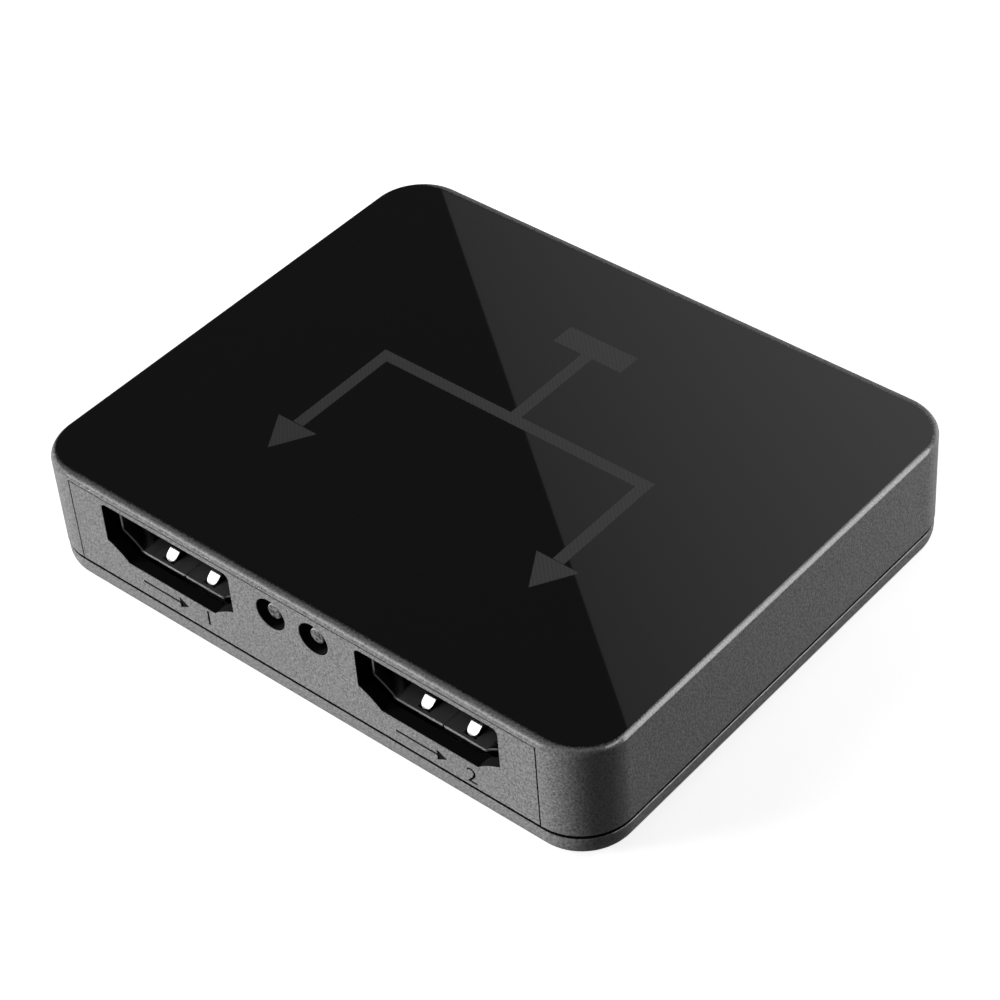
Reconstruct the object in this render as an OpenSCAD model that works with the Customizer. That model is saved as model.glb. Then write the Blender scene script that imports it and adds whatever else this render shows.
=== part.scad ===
// Compact video splitter: one video socket in, two out, in a flat two-part plastic case.
// Millimetres. The origin is the middle of the underside, +Z is up and the two outputs face -Y.
// The case is sized from what it holds, so its overall size follows the sizes below.

/* [Case] */
// Thickness of the cover's side walls
wall = 1.3; // [1:0.1:2]
// Thickness of the cover's roof
roof = 1; // [0.8:0.1:2]
// Thickness of the tray's floor
floor_t = 1.5; // [1.2:0.1:2.5]
// Radius of the upright corners
corner_r = 5.3; // [4.5:0.1:7]
// Radius of the edge round the top
top_edge_r = 0.5; // [0.2:0.05:0.9]
// Radius of the edge round the underside
bottom_edge_r = 2; // [0.5:0.1:2.6]
// Height of the middle of the seam between cover and tray
seam_z = 3; // [2.7:0.1:4]
// Open width of the seam
seam_gap = 0.3; // [0.1:0.05:0.5]
// Thickness of the lip that locates the cover on the tray
lip_t = 0.8; // [0.6:0.1:1.2]
// Height of the lip above the tray's rim
lip_h = 1.1; // [0.6:0.1:1.6]
// Clearance between lip and cover
lip_gap = 0.15; // [0.1:0.05:0.3]
// Width of the parting line that frames the front and rear walls
parting_w = 0.15; // [0.1:0.05:0.3]
// Depth of that parting line
parting_depth = 0.1; // [0.05:0.05:0.2]

/* [Board] */
// Free height under the circuit board
board_lift = 3.15; // [2.6:0.05:5]
// Thickness of the circuit board
board_t = 1.6; // [1:0.1:2]
// Clearance round the circuit board, inside the lip
board_gap = 0.3; // [0.2:0.1:1]
// Free length of board between the front and the rear video sockets
mid_space = 27.1; // [24:0.1:50]
// Clearance above the tallest part on the board
headroom = 0.35; // [0.2:0.05:3]

/* [Video sockets] */
// Width of a socket's metal shell
socket_w = 15.1; // [14.5:0.1:16]
// Height of the shell
socket_h = 5.4; // [5.2:0.1:6.5]
// Length of the shell
socket_l = 11.5; // [10:0.1:14]
// Thickness of the shell's metal
socket_metal = 0.3; // [0.2:0.05:0.4]
// Radius of the shell's upper corners
socket_round = 0.8; // [0.5:0.1:1.2]
// Width of the slope at each lower corner
slope_w = 2.5; // [1.8:0.1:3]
// Height of that slope
slope_h = 1.55; // [1:0.05:1.8]
// Gap between the wall and the mouth of a socket
mouth_gap = 0.15; // [0.1:0.05:0.5]
// Clearance round a socket in its opening
opening_gap = 0.3; // [0.2:0.05:0.5]
// Position of the input socket along the rear wall
input_x = 11; // [9:0.5:14]
// Width of the tongue inside a socket
tongue_w = 11.2; // [10.6:0.1:12]
// Thickness of the tongue
tongue_t = 1; // [0.8:0.1:1.2]
// Distance from the mouth to the tip of the tongue
tongue_setback = 2.5; // [2:0.1:4]
// Length of the insulating block behind the tongue
block_l = 3; // [2:0.1:4]
// Clearance of an insulator in its shell, and of a contact in its slot
fit_gap = 0.05; // [0.03:0.01:0.1]
// Contacts on the upper side of the tongue, one fewer below
contact_count = 10; // [6:1:10]
// Spacing of the contacts on one side
contact_pitch = 1; // [0.9:0.05:1.1]
// Width of a contact
contact_w = 0.3; // [0.2:0.05:0.35]
// Thickness of a contact
contact_t = 0.15; // [0.1:0.05:0.25]
// Distance from the tip of the tongue to the contacts
contact_inset = 0.5; // [0.3:0.1:1]
// Length of a contact's foot on the board
contact_foot = 0.9; // [0.6:0.1:1.5]
// Spacing of the two spring leaves in a shell's floor and roof
leaf_pitch = 5.1; // [4:0.1:6]
// Width of a spring leaf
leaf_w = 1.2; // [0.8:0.1:2]
// Clearance round a leaf in its window
leaf_gap = 0.3; // [0.2:0.05:0.5]
// Distance from the mouth to the leaf's tip
leaf_tip = 0.6; // [0.5:0.1:1]
// Length of the leaf's ramp, from its tip to its crest
leaf_ramp = 1.3; // [1:0.1:2]
// Length of the leaf from its crest back to its root
leaf_tail = 3.1; // [2:0.1:4]
// Height of the crest above the shell's floor
leaf_rise = 0.3; // [0.15:0.05:0.3]
// Width of a shell's leg
leg_w = 1.2; // [0.8:0.1:2]
// Length of a leg below the top of the board
leg_l = 2.2; // [1.8:0.1:2.8]
// Clearance round a leg in its slot
leg_gap = 0.1; // [0.05:0.05:0.3]
// Distance from the mouth to the front legs
leg_front = 3.2; // [3:0.1:4]
// Distance from the front legs to the rear legs
leg_pitch = 5.6; // [4:0.1:6]

/* [Power socket] */
// Width of the power socket's shell
power_w = 7.5; // [7:0.1:9]
// Height of the shell
power_h = 2.6; // [2.4:0.1:3.2]
// Length of the shell
power_l = 5.5; // [5:0.1:7]
// Thickness of the shell's metal
power_metal = 0.25; // [0.2:0.05:0.3]
// Width of the slope at each lower corner
power_slope_w = 0.9; // [0.6:0.1:1.2]
// Height of that slope
power_slope_h = 0.8; // [0.5:0.1:1]
// Radius of the shell's upper corners
power_round = 0.4; // [0.3:0.05:0.6]
// How far the flared rim stands out round the mouth
power_flare = 0.3; // [0.15:0.05:0.4]
// Length of the flared rim
power_rim = 0.4; // [0.3:0.05:0.6]
// Position of the power socket along the rear wall
power_x = -12; // [-16:0.5:-8]
// Width of the tongue
power_tongue_w = 3.7; // [3.4:0.1:4.5]
// Thickness of the tongue
power_tongue_t = 0.6; // [0.4:0.1:0.8]
// Distance from the mouth to the tip of the tongue
power_setback = 0.9; // [0.6:0.1:1.5]
// Length of the insulating block
power_block_l = 1.4; // [1:0.1:2]
// Number of contacts
power_count = 5; // [3:1:5]
// Spacing of the contacts
power_pitch = 0.65; // [0.6:0.05:0.7]
// Distance from the mouth to the legs
power_leg_y = 2.4; // [1.8:0.1:3]

/* [Indicator lights] */
// Spacing of the two lights
led_pitch = 5; // [4:0.1:7]
// Height of a light's axis above the board
led_lift = 3.85; // [2.5:0.05:5]
// Diameter of a light's hole in the front wall
led_hole_d = 3.3; // [2.6:0.1:4]
// Diameter of the lens
led_lens_d = 1.8; // [1.5:0.1:2.4]
// How far the lens stops short of the wall's outer face
led_recess = 0.45; // [0.2:0.05:1]
// Diameter of the collar behind the lens
led_collar_d = 2.8; // [2.6:0.1:3.6]
// Thickness of the collar
led_collar_t = 1.1; // [0.8:0.1:2]
// Clearance between the collar and the wall
led_wall_gap = 0.4; // [0.2:0.1:1]
// Clearance between the collars and the sockets beside them
led_side_gap = 3.75; // [1:0.05:8]
// Thickness of a light's square wire
wire_w = 0.4; // [0.3:0.05:0.5]
// Spacing of a light's two wires
wire_pitch = 1.3; // [1.1:0.1:1.8]
// Length of the wires before they turn down
wire_run = 1.4; // [0.8:0.1:3]
// Length of the wires below the board
wire_end = 0.8; // [0.4:0.1:1.5]
// Diameter of a wire's hole in the board
wire_hole_d = 0.8; // [0.75:0.05:1]

/* [Fasteners] */
// Thickness of the cover's screw bosses round their holes
boss_wall = 1.5; // [1.2:0.1:2.5]
// Clearance between a boss and the socket beside it
boss_gap = 1.75; // [0.4:0.05:6]
// Clearance between a boss and the walls
boss_wall_gap = 1.7; // [0.5:0.05:4]
// Thickness of the tray's posts round the screw heads
post_wall = 0.6; // [0.5:0.1:1.2]
// Diameter of a screw's shank
screw_d = 1.9; // [1.6:0.1:2.4]
// Diameter of a screw's head
screw_head_d = 3.6; // [3:0.1:3.9]
// Height of a screw's head
screw_head_h = 1.3; // [0.8:0.1:1.8]
// How far a head lies below the underside
head_sink = 0.6; // [0.2:0.1:1]
// Clearance round a head
head_gap = 0.2; // [0.1:0.05:0.4]
// Clearance round a shank where it passes through
shank_gap = 0.2; // [0.1:0.05:0.4]
// Clearance round a shank in its boss
pilot_gap = 0.05; // [0.03:0.01:0.1]
// Length of a shank inside its boss
screw_bite = 3.6; // [2:0.1:5]
// Free depth of the hole beyond a shank
bite_end = 0.6; // [0.3:0.1:1]
// Width of the cross slot in a head
slot_w = 0.5; // [0.4:0.1:0.8]
// Length of the cross slot
slot_l = 2.2; // [1.5:0.1:2.6]
// Depth of the cross slot
slot_depth = 0.7; // [0.4:0.1:0.7]

/* [Parts on the board] */
// Clearance between neighbouring parts
part_gap = 1.5; // [0.5:0.1:2]
// Side of the square splitter chip
chip_w = 10; // [8:0.1:11]
// Thickness of the splitter chip
chip_t = 1.4; // [1:0.1:2]
// Leads on each side of the splitter chip
chip_count = 16; // [8:1:18]
// Spacing of those leads
chip_pitch = 0.5; // [0.4:0.05:0.55]
// Width of those leads
chip_lead_w = 0.22; // [0.15:0.01:0.25]
// Reach of those leads beyond the chip
chip_reach = 1; // [0.8:0.1:1.5]
// Width of the control chip
control_w = 3.9; // [3.5:0.1:5]
// Length of the control chip
control_l = 4.9; // [4.6:0.1:6]
// Thickness of the control chip
control_t = 1.5; // [1:0.1:2]
// Leads on each side of the control chip
control_count = 4; // [2:1:4]
// Spacing of those leads
control_pitch = 1.27; // [1:0.01:1.3]
// Reach of those leads beyond the chip
control_reach = 1.05; // [0.8:0.05:1.5]
// Width of a voltage regulator
regulator_w = 6.5; // [6.2:0.1:7.5]
// Depth of a voltage regulator
regulator_d = 3.5; // [3:0.1:5]
// Thickness of a voltage regulator
regulator_t = 1.6; // [1.2:0.1:2]
// Spacing of a regulator's three leads
regulator_pitch = 2.3; // [2:0.1:2.5]
// Width of a regulator's heat tab
regulator_tab = 3; // [2:0.1:4]
// Reach of a regulator's leads beyond its body
regulator_reach = 1.75; // [1.2:0.05:2]
// Width of the regulators' and the control chip's leads
lead_w = 0.6; // [0.4:0.05:0.7]
// Thickness of every lead
lead_t = 0.15; // [0.1:0.05:0.25]
// Length of every lead's foot on the board
lead_foot = 0.5; // [0.3:0.05:0.6]
// Gap between the board and the chips above it
chip_lift = 0.1; // [0.05:0.05:0.2]
// Length of the crystal's can
can_l = 10.2; // [8:0.1:12]
// Width of the crystal's can
can_w = 3.8; // [3:0.1:5]
// Height of the crystal's can
can_h = 3; // [2:0.1:4]
// How far the crystal's base stands out round the can
can_rim = 0.45; // [0.2:0.05:0.8]
// Thickness of the crystal's base
can_base_t = 0.5; // [0.3:0.1:1]
// Length of the bulk capacitor with its ends
bulk_l = 3.5; // [3:0.1:5]
// Width of the bulk capacitor
bulk_w = 2.8; // [2:0.1:3.2]
// Height of the bulk capacitor
bulk_h = 1.9; // [1.5:0.1:3]
// Length of a small chip part with its ends
small_l = 1.6; // [1.4:0.1:2]
// Width of a small chip part
small_w = 0.8; // [0.5:0.05:1.2]
// Height of a small chip part
small_h = 0.7; // [0.4:0.05:1]
// Length of a solderable end
end_t = 0.3; // [0.2:0.05:0.4]
// Parts in each row beside the splitter chip
row_count = 6; // [2:1:6]
// Spacing of the parts in a row
row_pitch = 2; // [1.6:0.1:2]
// Clearance between the splitter chip's leads and a row
row_gap = 0.8; // [0.4:0.1:1.2]
// Width of a surge array
surge_w = 2.5; // [2:0.1:3]
// Depth of a surge array
surge_d = 1; // [0.8:0.1:1.2]
// Height of a surge array
surge_h = 0.55; // [0.4:0.05:1]
// Spacing of the two surge arrays behind a socket
surge_pitch = 5.2; // [4:0.1:6]
// Clearance between a socket's contacts and its surge arrays
surge_gap = 0.5; // [0.3:0.1:1]

/* [Hidden] */
$fn = 96;
// How far a cut runs past the face it opens
cut = 1;
// Smallest radius of an inner corner
inner_r = 0.3;

// Bosses and posts, round the screws that they hold
pilot_d = screw_d + 2 * pilot_gap;
shank_hole_d = screw_d + 2 * shank_gap;
head_hole_d = screw_head_d + 2 * head_gap;
boss_d = pilot_d + 2 * boss_wall;
post_d = head_hole_d + 2 * post_wall;

// Across the front: lights in the middle, then a socket and a boss on each side
led_x = led_pitch / 2;
output_x = led_x + led_collar_d / 2 + led_side_gap + socket_w / 2;
boss_x = output_x + socket_w / 2 + boss_gap + boss_d / 2;
body_w = 2 * (boss_x + boss_d / 2 + boss_wall_gap + wall);

// From front to rear: a socket, the free board and the rear socket
body_d = 2 * (wall + mouth_gap + socket_l) + mid_space;
mouth_y = body_d / 2 - wall - mouth_gap;
boss_y = body_d / 2 - wall - boss_wall_gap - boss_d / 2;

// From the underside up: floor, free height, board, tallest part and roof
board_z = floor_t + board_lift;
board_top = board_z + board_t;
tallest = max(socket_h, power_h, led_lift + led_collar_d / 2, can_h + can_base_t, screw_bite + bite_end);
roof_z = board_top + tallest + headroom;
body_h = roof_z + roof;

// Case
rim_z = seam_z - seam_gap / 2;
cover_z = seam_z + seam_gap / 2;
lip_inset = wall + lip_gap;
tray_wall = lip_inset + lip_t;
underside_r = min(bottom_edge_r, rim_z - seam_gap);
board_inset = tray_wall + board_gap;
parting_x = body_w / 2 - corner_r - parting_w;
parting_top = body_h - top_edge_r;

// Screws, from the seat of the head to the end of the shank
head_seat = head_sink + screw_head_h;
shank_l = board_top - head_seat + screw_bite;
pilot_l = screw_bite + bite_end;

// Parts on the board, set out from the splitter chip towards both ends
chip_half = chip_w / 2 + chip_reach;
can_base_w = can_w + 2 * can_rim;
can_base_l = can_l + 2 * can_rim;
crystal_x = chip_half + part_gap + can_base_w / 2;
control_x = crystal_x + can_base_w / 2 + part_gap + control_w / 2 + control_reach;
regulator_1_x = -(chip_half + part_gap + regulator_w / 2);
regulator_2_x = regulator_1_x - regulator_w - part_gap;
bulk_x = regulator_2_x - regulator_w / 2 - part_gap - bulk_w / 2;
row_y = chip_half + row_gap + small_l / 2;
tail_y = socket_l + fit_gap;
surge_y = tail_y + contact_t + contact_foot + surge_gap + surge_d / 2;

// Colours
case_black = "#1c1c1e";
steel = "#9a9da1";
nickel = "#c9ccd0";
board_green = "#12452c";
moulding_black = "#151515";
gold = "#c8a24a";
tin = "#b9bcc0";
lens_clear = "#d8dcdf";
chip_black = "#202022";
ceramic_tan = "#b79a6b";
bulk_orange = "#c9872f";

// Flat shapes

module rounded_rect(w, d, r) {
    square([w - 2 * r, d], center = true);
    square([w, d - 2 * r], center = true);
    for (x = [-1, 1], y = [-1, 1])
        translate([x * (w / 2 - r), y * (d / 2 - r)])
            circle(r);
}

// Outline of a socket: rounded above, sloped at the lower corners, standing on its own lower edge
module socket_outline(w, h, r, slope, rise, grow) {
    full_w = w + 2 * grow;
    full_h = h + 2 * grow;
    translate([0, h / 2])
        difference() {
            rounded_rect(full_w, full_h, r + grow);
            for (side = [-1, 1])
                polygon([
                    [side * (full_w / 2 + cut), -full_h / 2 - cut],
                    [side * (full_w / 2 + cut), rise * (1 + cut / slope) - full_h / 2],
                    [side * (full_w / 2 - slope - slope * cut / rise), -full_h / 2 - cut]]);
        }
}

module video_outline(grow) {
    socket_outline(socket_w, socket_h, socket_round, slope_w, slope_h, grow);
}

module power_outline(grow) {
    socket_outline(power_w, power_h, power_round, power_slope_w, power_slope_h, grow);
}

// Cross-section of a slab whose upper edges are rounded
module slab_section(half, h, edge) {
    intersection() {
        union() {
            translate([-half, 0]) square([2 * half, h - edge]);
            translate([edge - half, 0]) square([2 * (half - edge), h]);
            for (side = [-1, 1])
                translate([side * (half - edge), h - edge])
                    circle(edge);
        }
        translate([-half - cut, 0]) square([2 * (half + cut), h + cut]);
    }
}

// Solid helpers

// Slab with round upright corners and a rounded edge round its top
module rounded_slab(w, d, h, r, edge) {
    across = w / 2 - r;
    along = d / 2 - r;
    translate([-across, 0, 0])
        rotate([90, 0, 90])
            linear_extrude(2 * across)
                slab_section(d / 2, h, edge);
    translate([0, along, 0])
        rotate([90, 0, 0])
            linear_extrude(2 * along)
                slab_section(w / 2, h, edge);
    for (turn = [0 : 3]) {
        x = (turn == 0 || turn == 3) ? across : -across;
        y = turn < 2 ? along : -along;
        translate([x, y, 0])
            rotate([0, 0, 90 * turn])
                rotate_extrude(angle = 90)
                    intersection() {
                        slab_section(r, h, edge);
                        square([r + cut, h + cut]);
                    }
    }
}

// Plain prism with round upright corners, from one height to another
module block(inset, z0, z1) {
    translate([0, 0, z0])
        linear_extrude(z1 - z0)
            rounded_rect(body_w - 2 * inset, body_d - 2 * inset, max(corner_r - inset, inner_r));
}

// Extrusion of an outline along +Y, standing on Z = 0
module along_y(y0, y1) {
    translate([0, y1, 0])
        rotate([90, 0, 0])
            linear_extrude(y1 - y0)
                children();
}

// A socket's own frame has its mouth at the origin, facing -Y, on the top of the board
module at_front(x) {
    translate([x, -mouth_y, board_top]) children();
}

module at_rear(x) {
    translate([x, mouth_y, board_top]) rotate([0, 0, 180]) children();
}

module at_bosses() {
    for (x = [-1, 1], y = [-1, 1])
        translate([x * boss_x, y * boss_y, 0])
            children();
}

// Lead that leaves a chip's side at X = 0, steps down and lies on the board
module gull_lead(w, reach, rise) {
    bend = reach - lead_foot;
    translate([0, -w / 2, rise - lead_t]) cube([bend, w, lead_t]);
    translate([bend - lead_t, -w / 2, 0]) cube([lead_t, w, rise]);
    translate([bend - lead_t, -w / 2, 0]) cube([lead_foot + lead_t, w, lead_t]);
}

module lead_row(count, pitch, w, reach, rise) {
    for (i = [0 : count - 1])
        translate([0, (i - (count - 1) / 2) * pitch, 0])
            gull_lead(w, reach, rise);
}

// Case

module socket_openings() {
    through = wall + mouth_gap + cut;
    for (side = [-1, 1])
        at_front(side * output_x)
            along_y(-through, mouth_gap)
                video_outline(opening_gap);
    at_rear(input_x)
        along_y(-through, mouth_gap)
            video_outline(opening_gap);
    at_rear(power_x)
        along_y(-through, mouth_gap)
            power_outline(power_flare + opening_gap);
}

module light_holes() {
    for (side = [-1, 1])
        translate([side * led_x, -body_d / 2 - cut, board_top + led_lift])
            rotate([-90, 0, 0])
                cylinder(d = led_hole_d, h = wall + 2 * cut);
}

// Shallow lines left by the mould's slides, round the flat of the front and rear walls
module parting_lines() {
    depth = 2 * parting_depth;
    for (wall_y = [-body_d / 2, body_d / 2]) {
        for (side = [-1, 1])
            translate([side * parting_x - parting_w / 2, wall_y - parting_depth, cover_z - cut])
                cube([parting_w, depth, parting_top - cover_z + cut]);
        translate([-parting_x, wall_y - parting_depth, parting_top - parting_w])
            cube([2 * parting_x, depth, parting_w]);
    }
}

module top_cover() {
    color(case_black)
        difference() {
            union() {
                difference() {
                    translate([0, 0, cover_z])
                        rounded_slab(body_w, body_d, body_h - cover_z, corner_r, top_edge_r);
                    block(wall, cover_z - cut, roof_z);
                }
                at_bosses()
                    translate([0, 0, board_top])
                        cylinder(d = boss_d, h = roof_z + roof / 2 - board_top);
            }
            at_bosses()
                translate([0, 0, board_top - cut])
                    cylinder(d = pilot_d, h = pilot_l + cut);
            socket_openings();
            light_holes();
            parting_lines();
        }
}

module bottom_cover() {
    color(case_black)
        difference() {
            union() {
                difference() {
                    union() {
                        translate([0, 0, rim_z])
                            mirror([0, 0, 1])
                                rounded_slab(body_w, body_d, rim_z, corner_r, underside_r);
                        block(lip_inset, floor_t, rim_z + lip_h);
                    }
                    block(tray_wall, floor_t, rim_z + lip_h + cut);
                }
                at_bosses()
                    translate([0, 0, floor_t / 2])
                        cylinder(d = post_d, h = board_z - floor_t / 2);
            }
            at_bosses() {
                translate([0, 0, -cut])
                    cylinder(d = head_hole_d, h = head_seat + cut);
                cylinder(d = shank_hole_d, h = board_z + cut);
            }
        }
}

module case_screws() {
    color(steel)
        at_bosses()
            difference() {
                union() {
                    translate([0, 0, head_sink]) cylinder(d = screw_head_d, h = screw_head_h);
                    translate([0, 0, head_sink]) cylinder(d = screw_d, h = screw_head_h + shank_l);
                }
                for (turn = [0, 90])
                    rotate([0, 0, turn])
                        translate([-slot_l / 2, -slot_w / 2, head_sink - cut])
                            cube([slot_l, slot_w, slot_depth + cut]);
            }
}

// Board

module leg_slots(w, metal, ys) {
    for (side = [-1, 1], y = ys)
        translate([side * (w - metal) / 2, y, -board_t / 2])
            cube([metal + 2 * leg_gap, leg_w + 2 * leg_gap, board_t + 2 * cut], center = true);
}

module video_leg_slots() {
    leg_slots(socket_w, socket_metal, [leg_front, leg_front + leg_pitch]);
}

module main_board() {
    color(board_green)
        difference() {
            block(board_inset, board_z, board_top);
            at_bosses()
                translate([0, 0, board_z - cut])
                    cylinder(d = shank_hole_d, h = board_t + 2 * cut);
            for (side = [-1, 1]) {
                at_front(side * output_x) video_leg_slots();
                for (wire = [-1, 1])
                    translate([side * led_x + wire * wire_pitch / 2, light_wire_y, board_z - cut])
                        cylinder(d = wire_hole_d, h = board_t + 2 * cut);
            }
            at_rear(input_x) video_leg_slots();
            at_rear(power_x) leg_slots(power_w, power_metal, [power_leg_y]);
        }
}

// Video sockets

module shell_legs(w, metal, foot_z, ys) {
    for (side = [-1, 1], y = ys)
        translate([side * (w - metal) / 2 - metal / 2, y - leg_w / 2, -leg_l])
            cube([metal, leg_w, leg_l + foot_z]);
}

// Spring leaf: a ramp up from its tip and a long slope back down to its root in the shell's floor
module spring_leaf() {
    crest = leaf_tip + leaf_ramp;
    root = crest + leaf_tail;
    low = socket_metal / 4;
    translate([-leaf_w / 2, 0, 0])
        rotate([90, 0, 90])
            linear_extrude(leaf_w)
                polygon([
                    [leaf_tip, socket_metal],
                    [crest, socket_metal + leaf_rise],
                    [root, socket_metal],
                    [root + leaf_gap, socket_metal],
                    [root + leaf_gap, low],
                    [root, low],
                    [crest, low + leaf_rise],
                    [leaf_tip, low]]);
}

module leaf_window() {
    translate([-leaf_w / 2 - leaf_gap, leaf_tip - leaf_gap, -cut])
        cube([leaf_w + 2 * leaf_gap, leaf_ramp + leaf_tail + leaf_gap, socket_metal + cut + fit_gap]);
}

// Both leaf places in the floor, and their mirror images in the roof
module at_leaves() {
    for (side = [-1, 1], roof_side = [0, 1])
        translate([side * leaf_pitch / 2, 0, roof_side * socket_h])
            mirror([0, 0, roof_side])
                children();
}

module video_shell() {
    difference() {
        along_y(0, socket_l)
            difference() {
                video_outline(0);
                video_outline(-socket_metal);
            }
        at_leaves() leaf_window();
    }
    at_leaves() spring_leaf();
    shell_legs(socket_w, socket_metal, socket_h / 2, [leg_front, leg_front + leg_pitch]);
}

// Contact bars along the tongue: rows of [sideways place, height of the underside]
function contact_rows(count, pitch, upper, lower) = concat(
    [for (i = [0 : count - 1]) [(i - (count - 1) / 2) * pitch, upper]],
    [for (i = [0 : count - 2]) [(i - (count - 2) / 2) * pitch, lower]]);

video_contacts = contact_rows(contact_count, contact_pitch,
                              (socket_h + tongue_t) / 2, (socket_h - tongue_t) / 2 - contact_t);

module video_insulator() {
    block_y = socket_l - block_l;
    difference() {
        union() {
            along_y(block_y, socket_l)
                video_outline(-socket_metal - fit_gap);
            translate([-tongue_w / 2, tongue_setback, (socket_h - tongue_t) / 2])
                cube([tongue_w, block_y + block_l / 2 - tongue_setback, tongue_t]);
        }
        for (c = video_contacts) {
            above = c[1] > socket_h / 2;
            translate([c[0] - contact_w / 2 - fit_gap, block_y - cut, c[1] - (above ? 0 : fit_gap)])
                cube([contact_w + 2 * fit_gap, block_l + 2 * cut, contact_t + fit_gap]);
        }
    }
}

// One contact: a bar on the tongue, a drop behind the block and a foot on the board
module contact(x, z, w, tip, tail) {
    translate([x - w / 2, tip, z]) cube([w, tail + contact_t - tip, contact_t]);
    translate([x - w / 2, tail, 0]) cube([w, contact_t, z + contact_t]);
    translate([x - w / 2, tail, 0]) cube([w, contact_t + contact_foot, contact_t]);
}

module video_contact_set() {
    for (c = video_contacts)
        contact(c[0], c[1], contact_w, tongue_setback + contact_inset, tail_y);
}

module video_out_1_shell() { color(nickel) at_front(-output_x) video_shell(); }
module video_out_1_insulator() { color(moulding_black) at_front(-output_x) video_insulator(); }
module video_out_1_contacts() { color(gold) at_front(-output_x) video_contact_set(); }
module video_out_2_shell() { color(nickel) at_front(output_x) video_shell(); }
module video_out_2_insulator() { color(moulding_black) at_front(output_x) video_insulator(); }
module video_out_2_contacts() { color(gold) at_front(output_x) video_contact_set(); }
module video_in_shell() { color(nickel) at_rear(input_x) video_shell(); }
module video_in_insulator() { color(moulding_black) at_rear(input_x) video_insulator(); }
module video_in_contacts() { color(gold) at_rear(input_x) video_contact_set(); }

// Power socket

power_contact_w = power_pitch - 2 * contact_t;
power_contact_z = (power_h - power_tongue_t) / 2 - contact_t;

module power_socket_shell() {
    color(nickel)
        at_rear(power_x) {
            difference() {
                union() {
                    along_y(0, power_l) power_outline(0);
                    along_y(0, power_rim) power_outline(power_flare);
                }
                along_y(-cut, power_l + cut) power_outline(-power_metal);
            }
            shell_legs(power_w, power_metal, power_h / 2, [power_leg_y]);
        }
}

module power_socket_insulator() {
    block_y = power_l - power_block_l;
    color(moulding_black)
        at_rear(power_x)
            difference() {
                union() {
                    along_y(block_y, power_l)
                        power_outline(-power_metal - fit_gap);
                    translate([-power_tongue_w / 2, power_setback, (power_h - power_tongue_t) / 2])
                        cube([power_tongue_w, block_y + power_block_l / 2 - power_setback, power_tongue_t]);
                }
                for (i = [0 : power_count - 1])
                    translate([(i - (power_count - 1) / 2) * power_pitch - power_contact_w / 2 - fit_gap,
                               block_y - cut, power_contact_z - fit_gap])
                        cube([power_contact_w + 2 * fit_gap, power_block_l + 2 * cut, contact_t + fit_gap]);
            }
}

module power_socket_contacts() {
    color(gold)
        at_rear(power_x)
            for (i = [0 : power_count - 1])
                contact((i - (power_count - 1) / 2) * power_pitch, power_contact_z, power_contact_w,
                        power_setback + contact_inset, power_l + fit_gap);
}

// Indicator lights

light_tip_y = led_recess - body_d / 2;
light_back_y = led_wall_gap + wall - body_d / 2 + led_collar_t;
light_wire_y = light_back_y + wire_run;

module light(x) {
    translate([x, 0, board_top + led_lift])
        rotate([-90, 0, 0]) {
            translate([0, 0, light_tip_y])
                cylinder(d = led_lens_d, h = light_back_y - light_tip_y);
            translate([0, 0, light_back_y - led_collar_t])
                cylinder(d = led_collar_d, h = led_collar_t);
        }
}

module light_wires(x) {
    bottom = board_z - wire_end;
    for (side = [-1, 1])
        translate([x + side * wire_pitch / 2 - wire_w / 2, 0, 0]) {
            translate([0, light_back_y, board_top + led_lift - wire_w / 2])
                cube([wire_w, wire_run + wire_w / 2, wire_w]);
            translate([0, light_wire_y - wire_w / 2, bottom])
                cube([wire_w, wire_w, board_top + led_lift + wire_w / 2 - bottom]);
        }
}

module power_light() { color(lens_clear) light(-led_x); }
module power_light_wires() { color(tin) light_wires(-led_x); }
module link_light() { color(lens_clear) light(led_x); }
module link_light_wires() { color(tin) light_wires(led_x); }

// Parts on the board

module chip_body(x, w, d, t) {
    translate([x - w / 2, -d / 2, board_top + chip_lift]) cube([w, d, t]);
}

module splitter_chip() { color(chip_black) chip_body(0, chip_w, chip_w, chip_t); }

module splitter_chip_leads() {
    color(tin)
        for (turn = [0 : 3])
            rotate([0, 0, 90 * turn])
                translate([chip_w / 2, 0, board_top])
                    lead_row(chip_count, chip_pitch, chip_lead_w, chip_reach, chip_lift + chip_t / 2);
}

module control_chip() { color(chip_black) chip_body(control_x, control_w, control_l, control_t); }

module control_chip_leads() {
    color(tin)
        for (turn = [0, 180])
            translate([control_x, 0, board_top])
                rotate([0, 0, turn])
                    translate([control_w / 2, 0, 0])
                        lead_row(control_count, control_pitch, lead_w, control_reach, chip_lift + control_t / 2);
}

module regulator(x) { color(chip_black) chip_body(x, regulator_w, regulator_d, regulator_t); }

module regulator_leads(x) {
    rise = chip_lift + regulator_t / 2;
    color(tin)
        translate([x, 0, board_top]) {
            rotate([0, 0, -90])
                translate([regulator_d / 2, 0, 0])
                    lead_row(3, regulator_pitch, lead_w, regulator_reach, rise);
            rotate([0, 0, 90])
                translate([regulator_d / 2, 0, 0])
                    lead_row(1, regulator_pitch, regulator_tab, regulator_reach, rise);
        }
}

module regulator_1() { regulator(regulator_1_x); }
module regulator_1_leads() { regulator_leads(regulator_1_x); }
module regulator_2() { regulator(regulator_2_x); }
module regulator_2_leads() { regulator_leads(regulator_2_x); }

module crystal_base() {
    color(chip_black)
        translate([crystal_x - can_base_w / 2, -can_base_l / 2, board_top])
            cube([can_base_w, can_base_l, can_base_t]);
}

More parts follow.
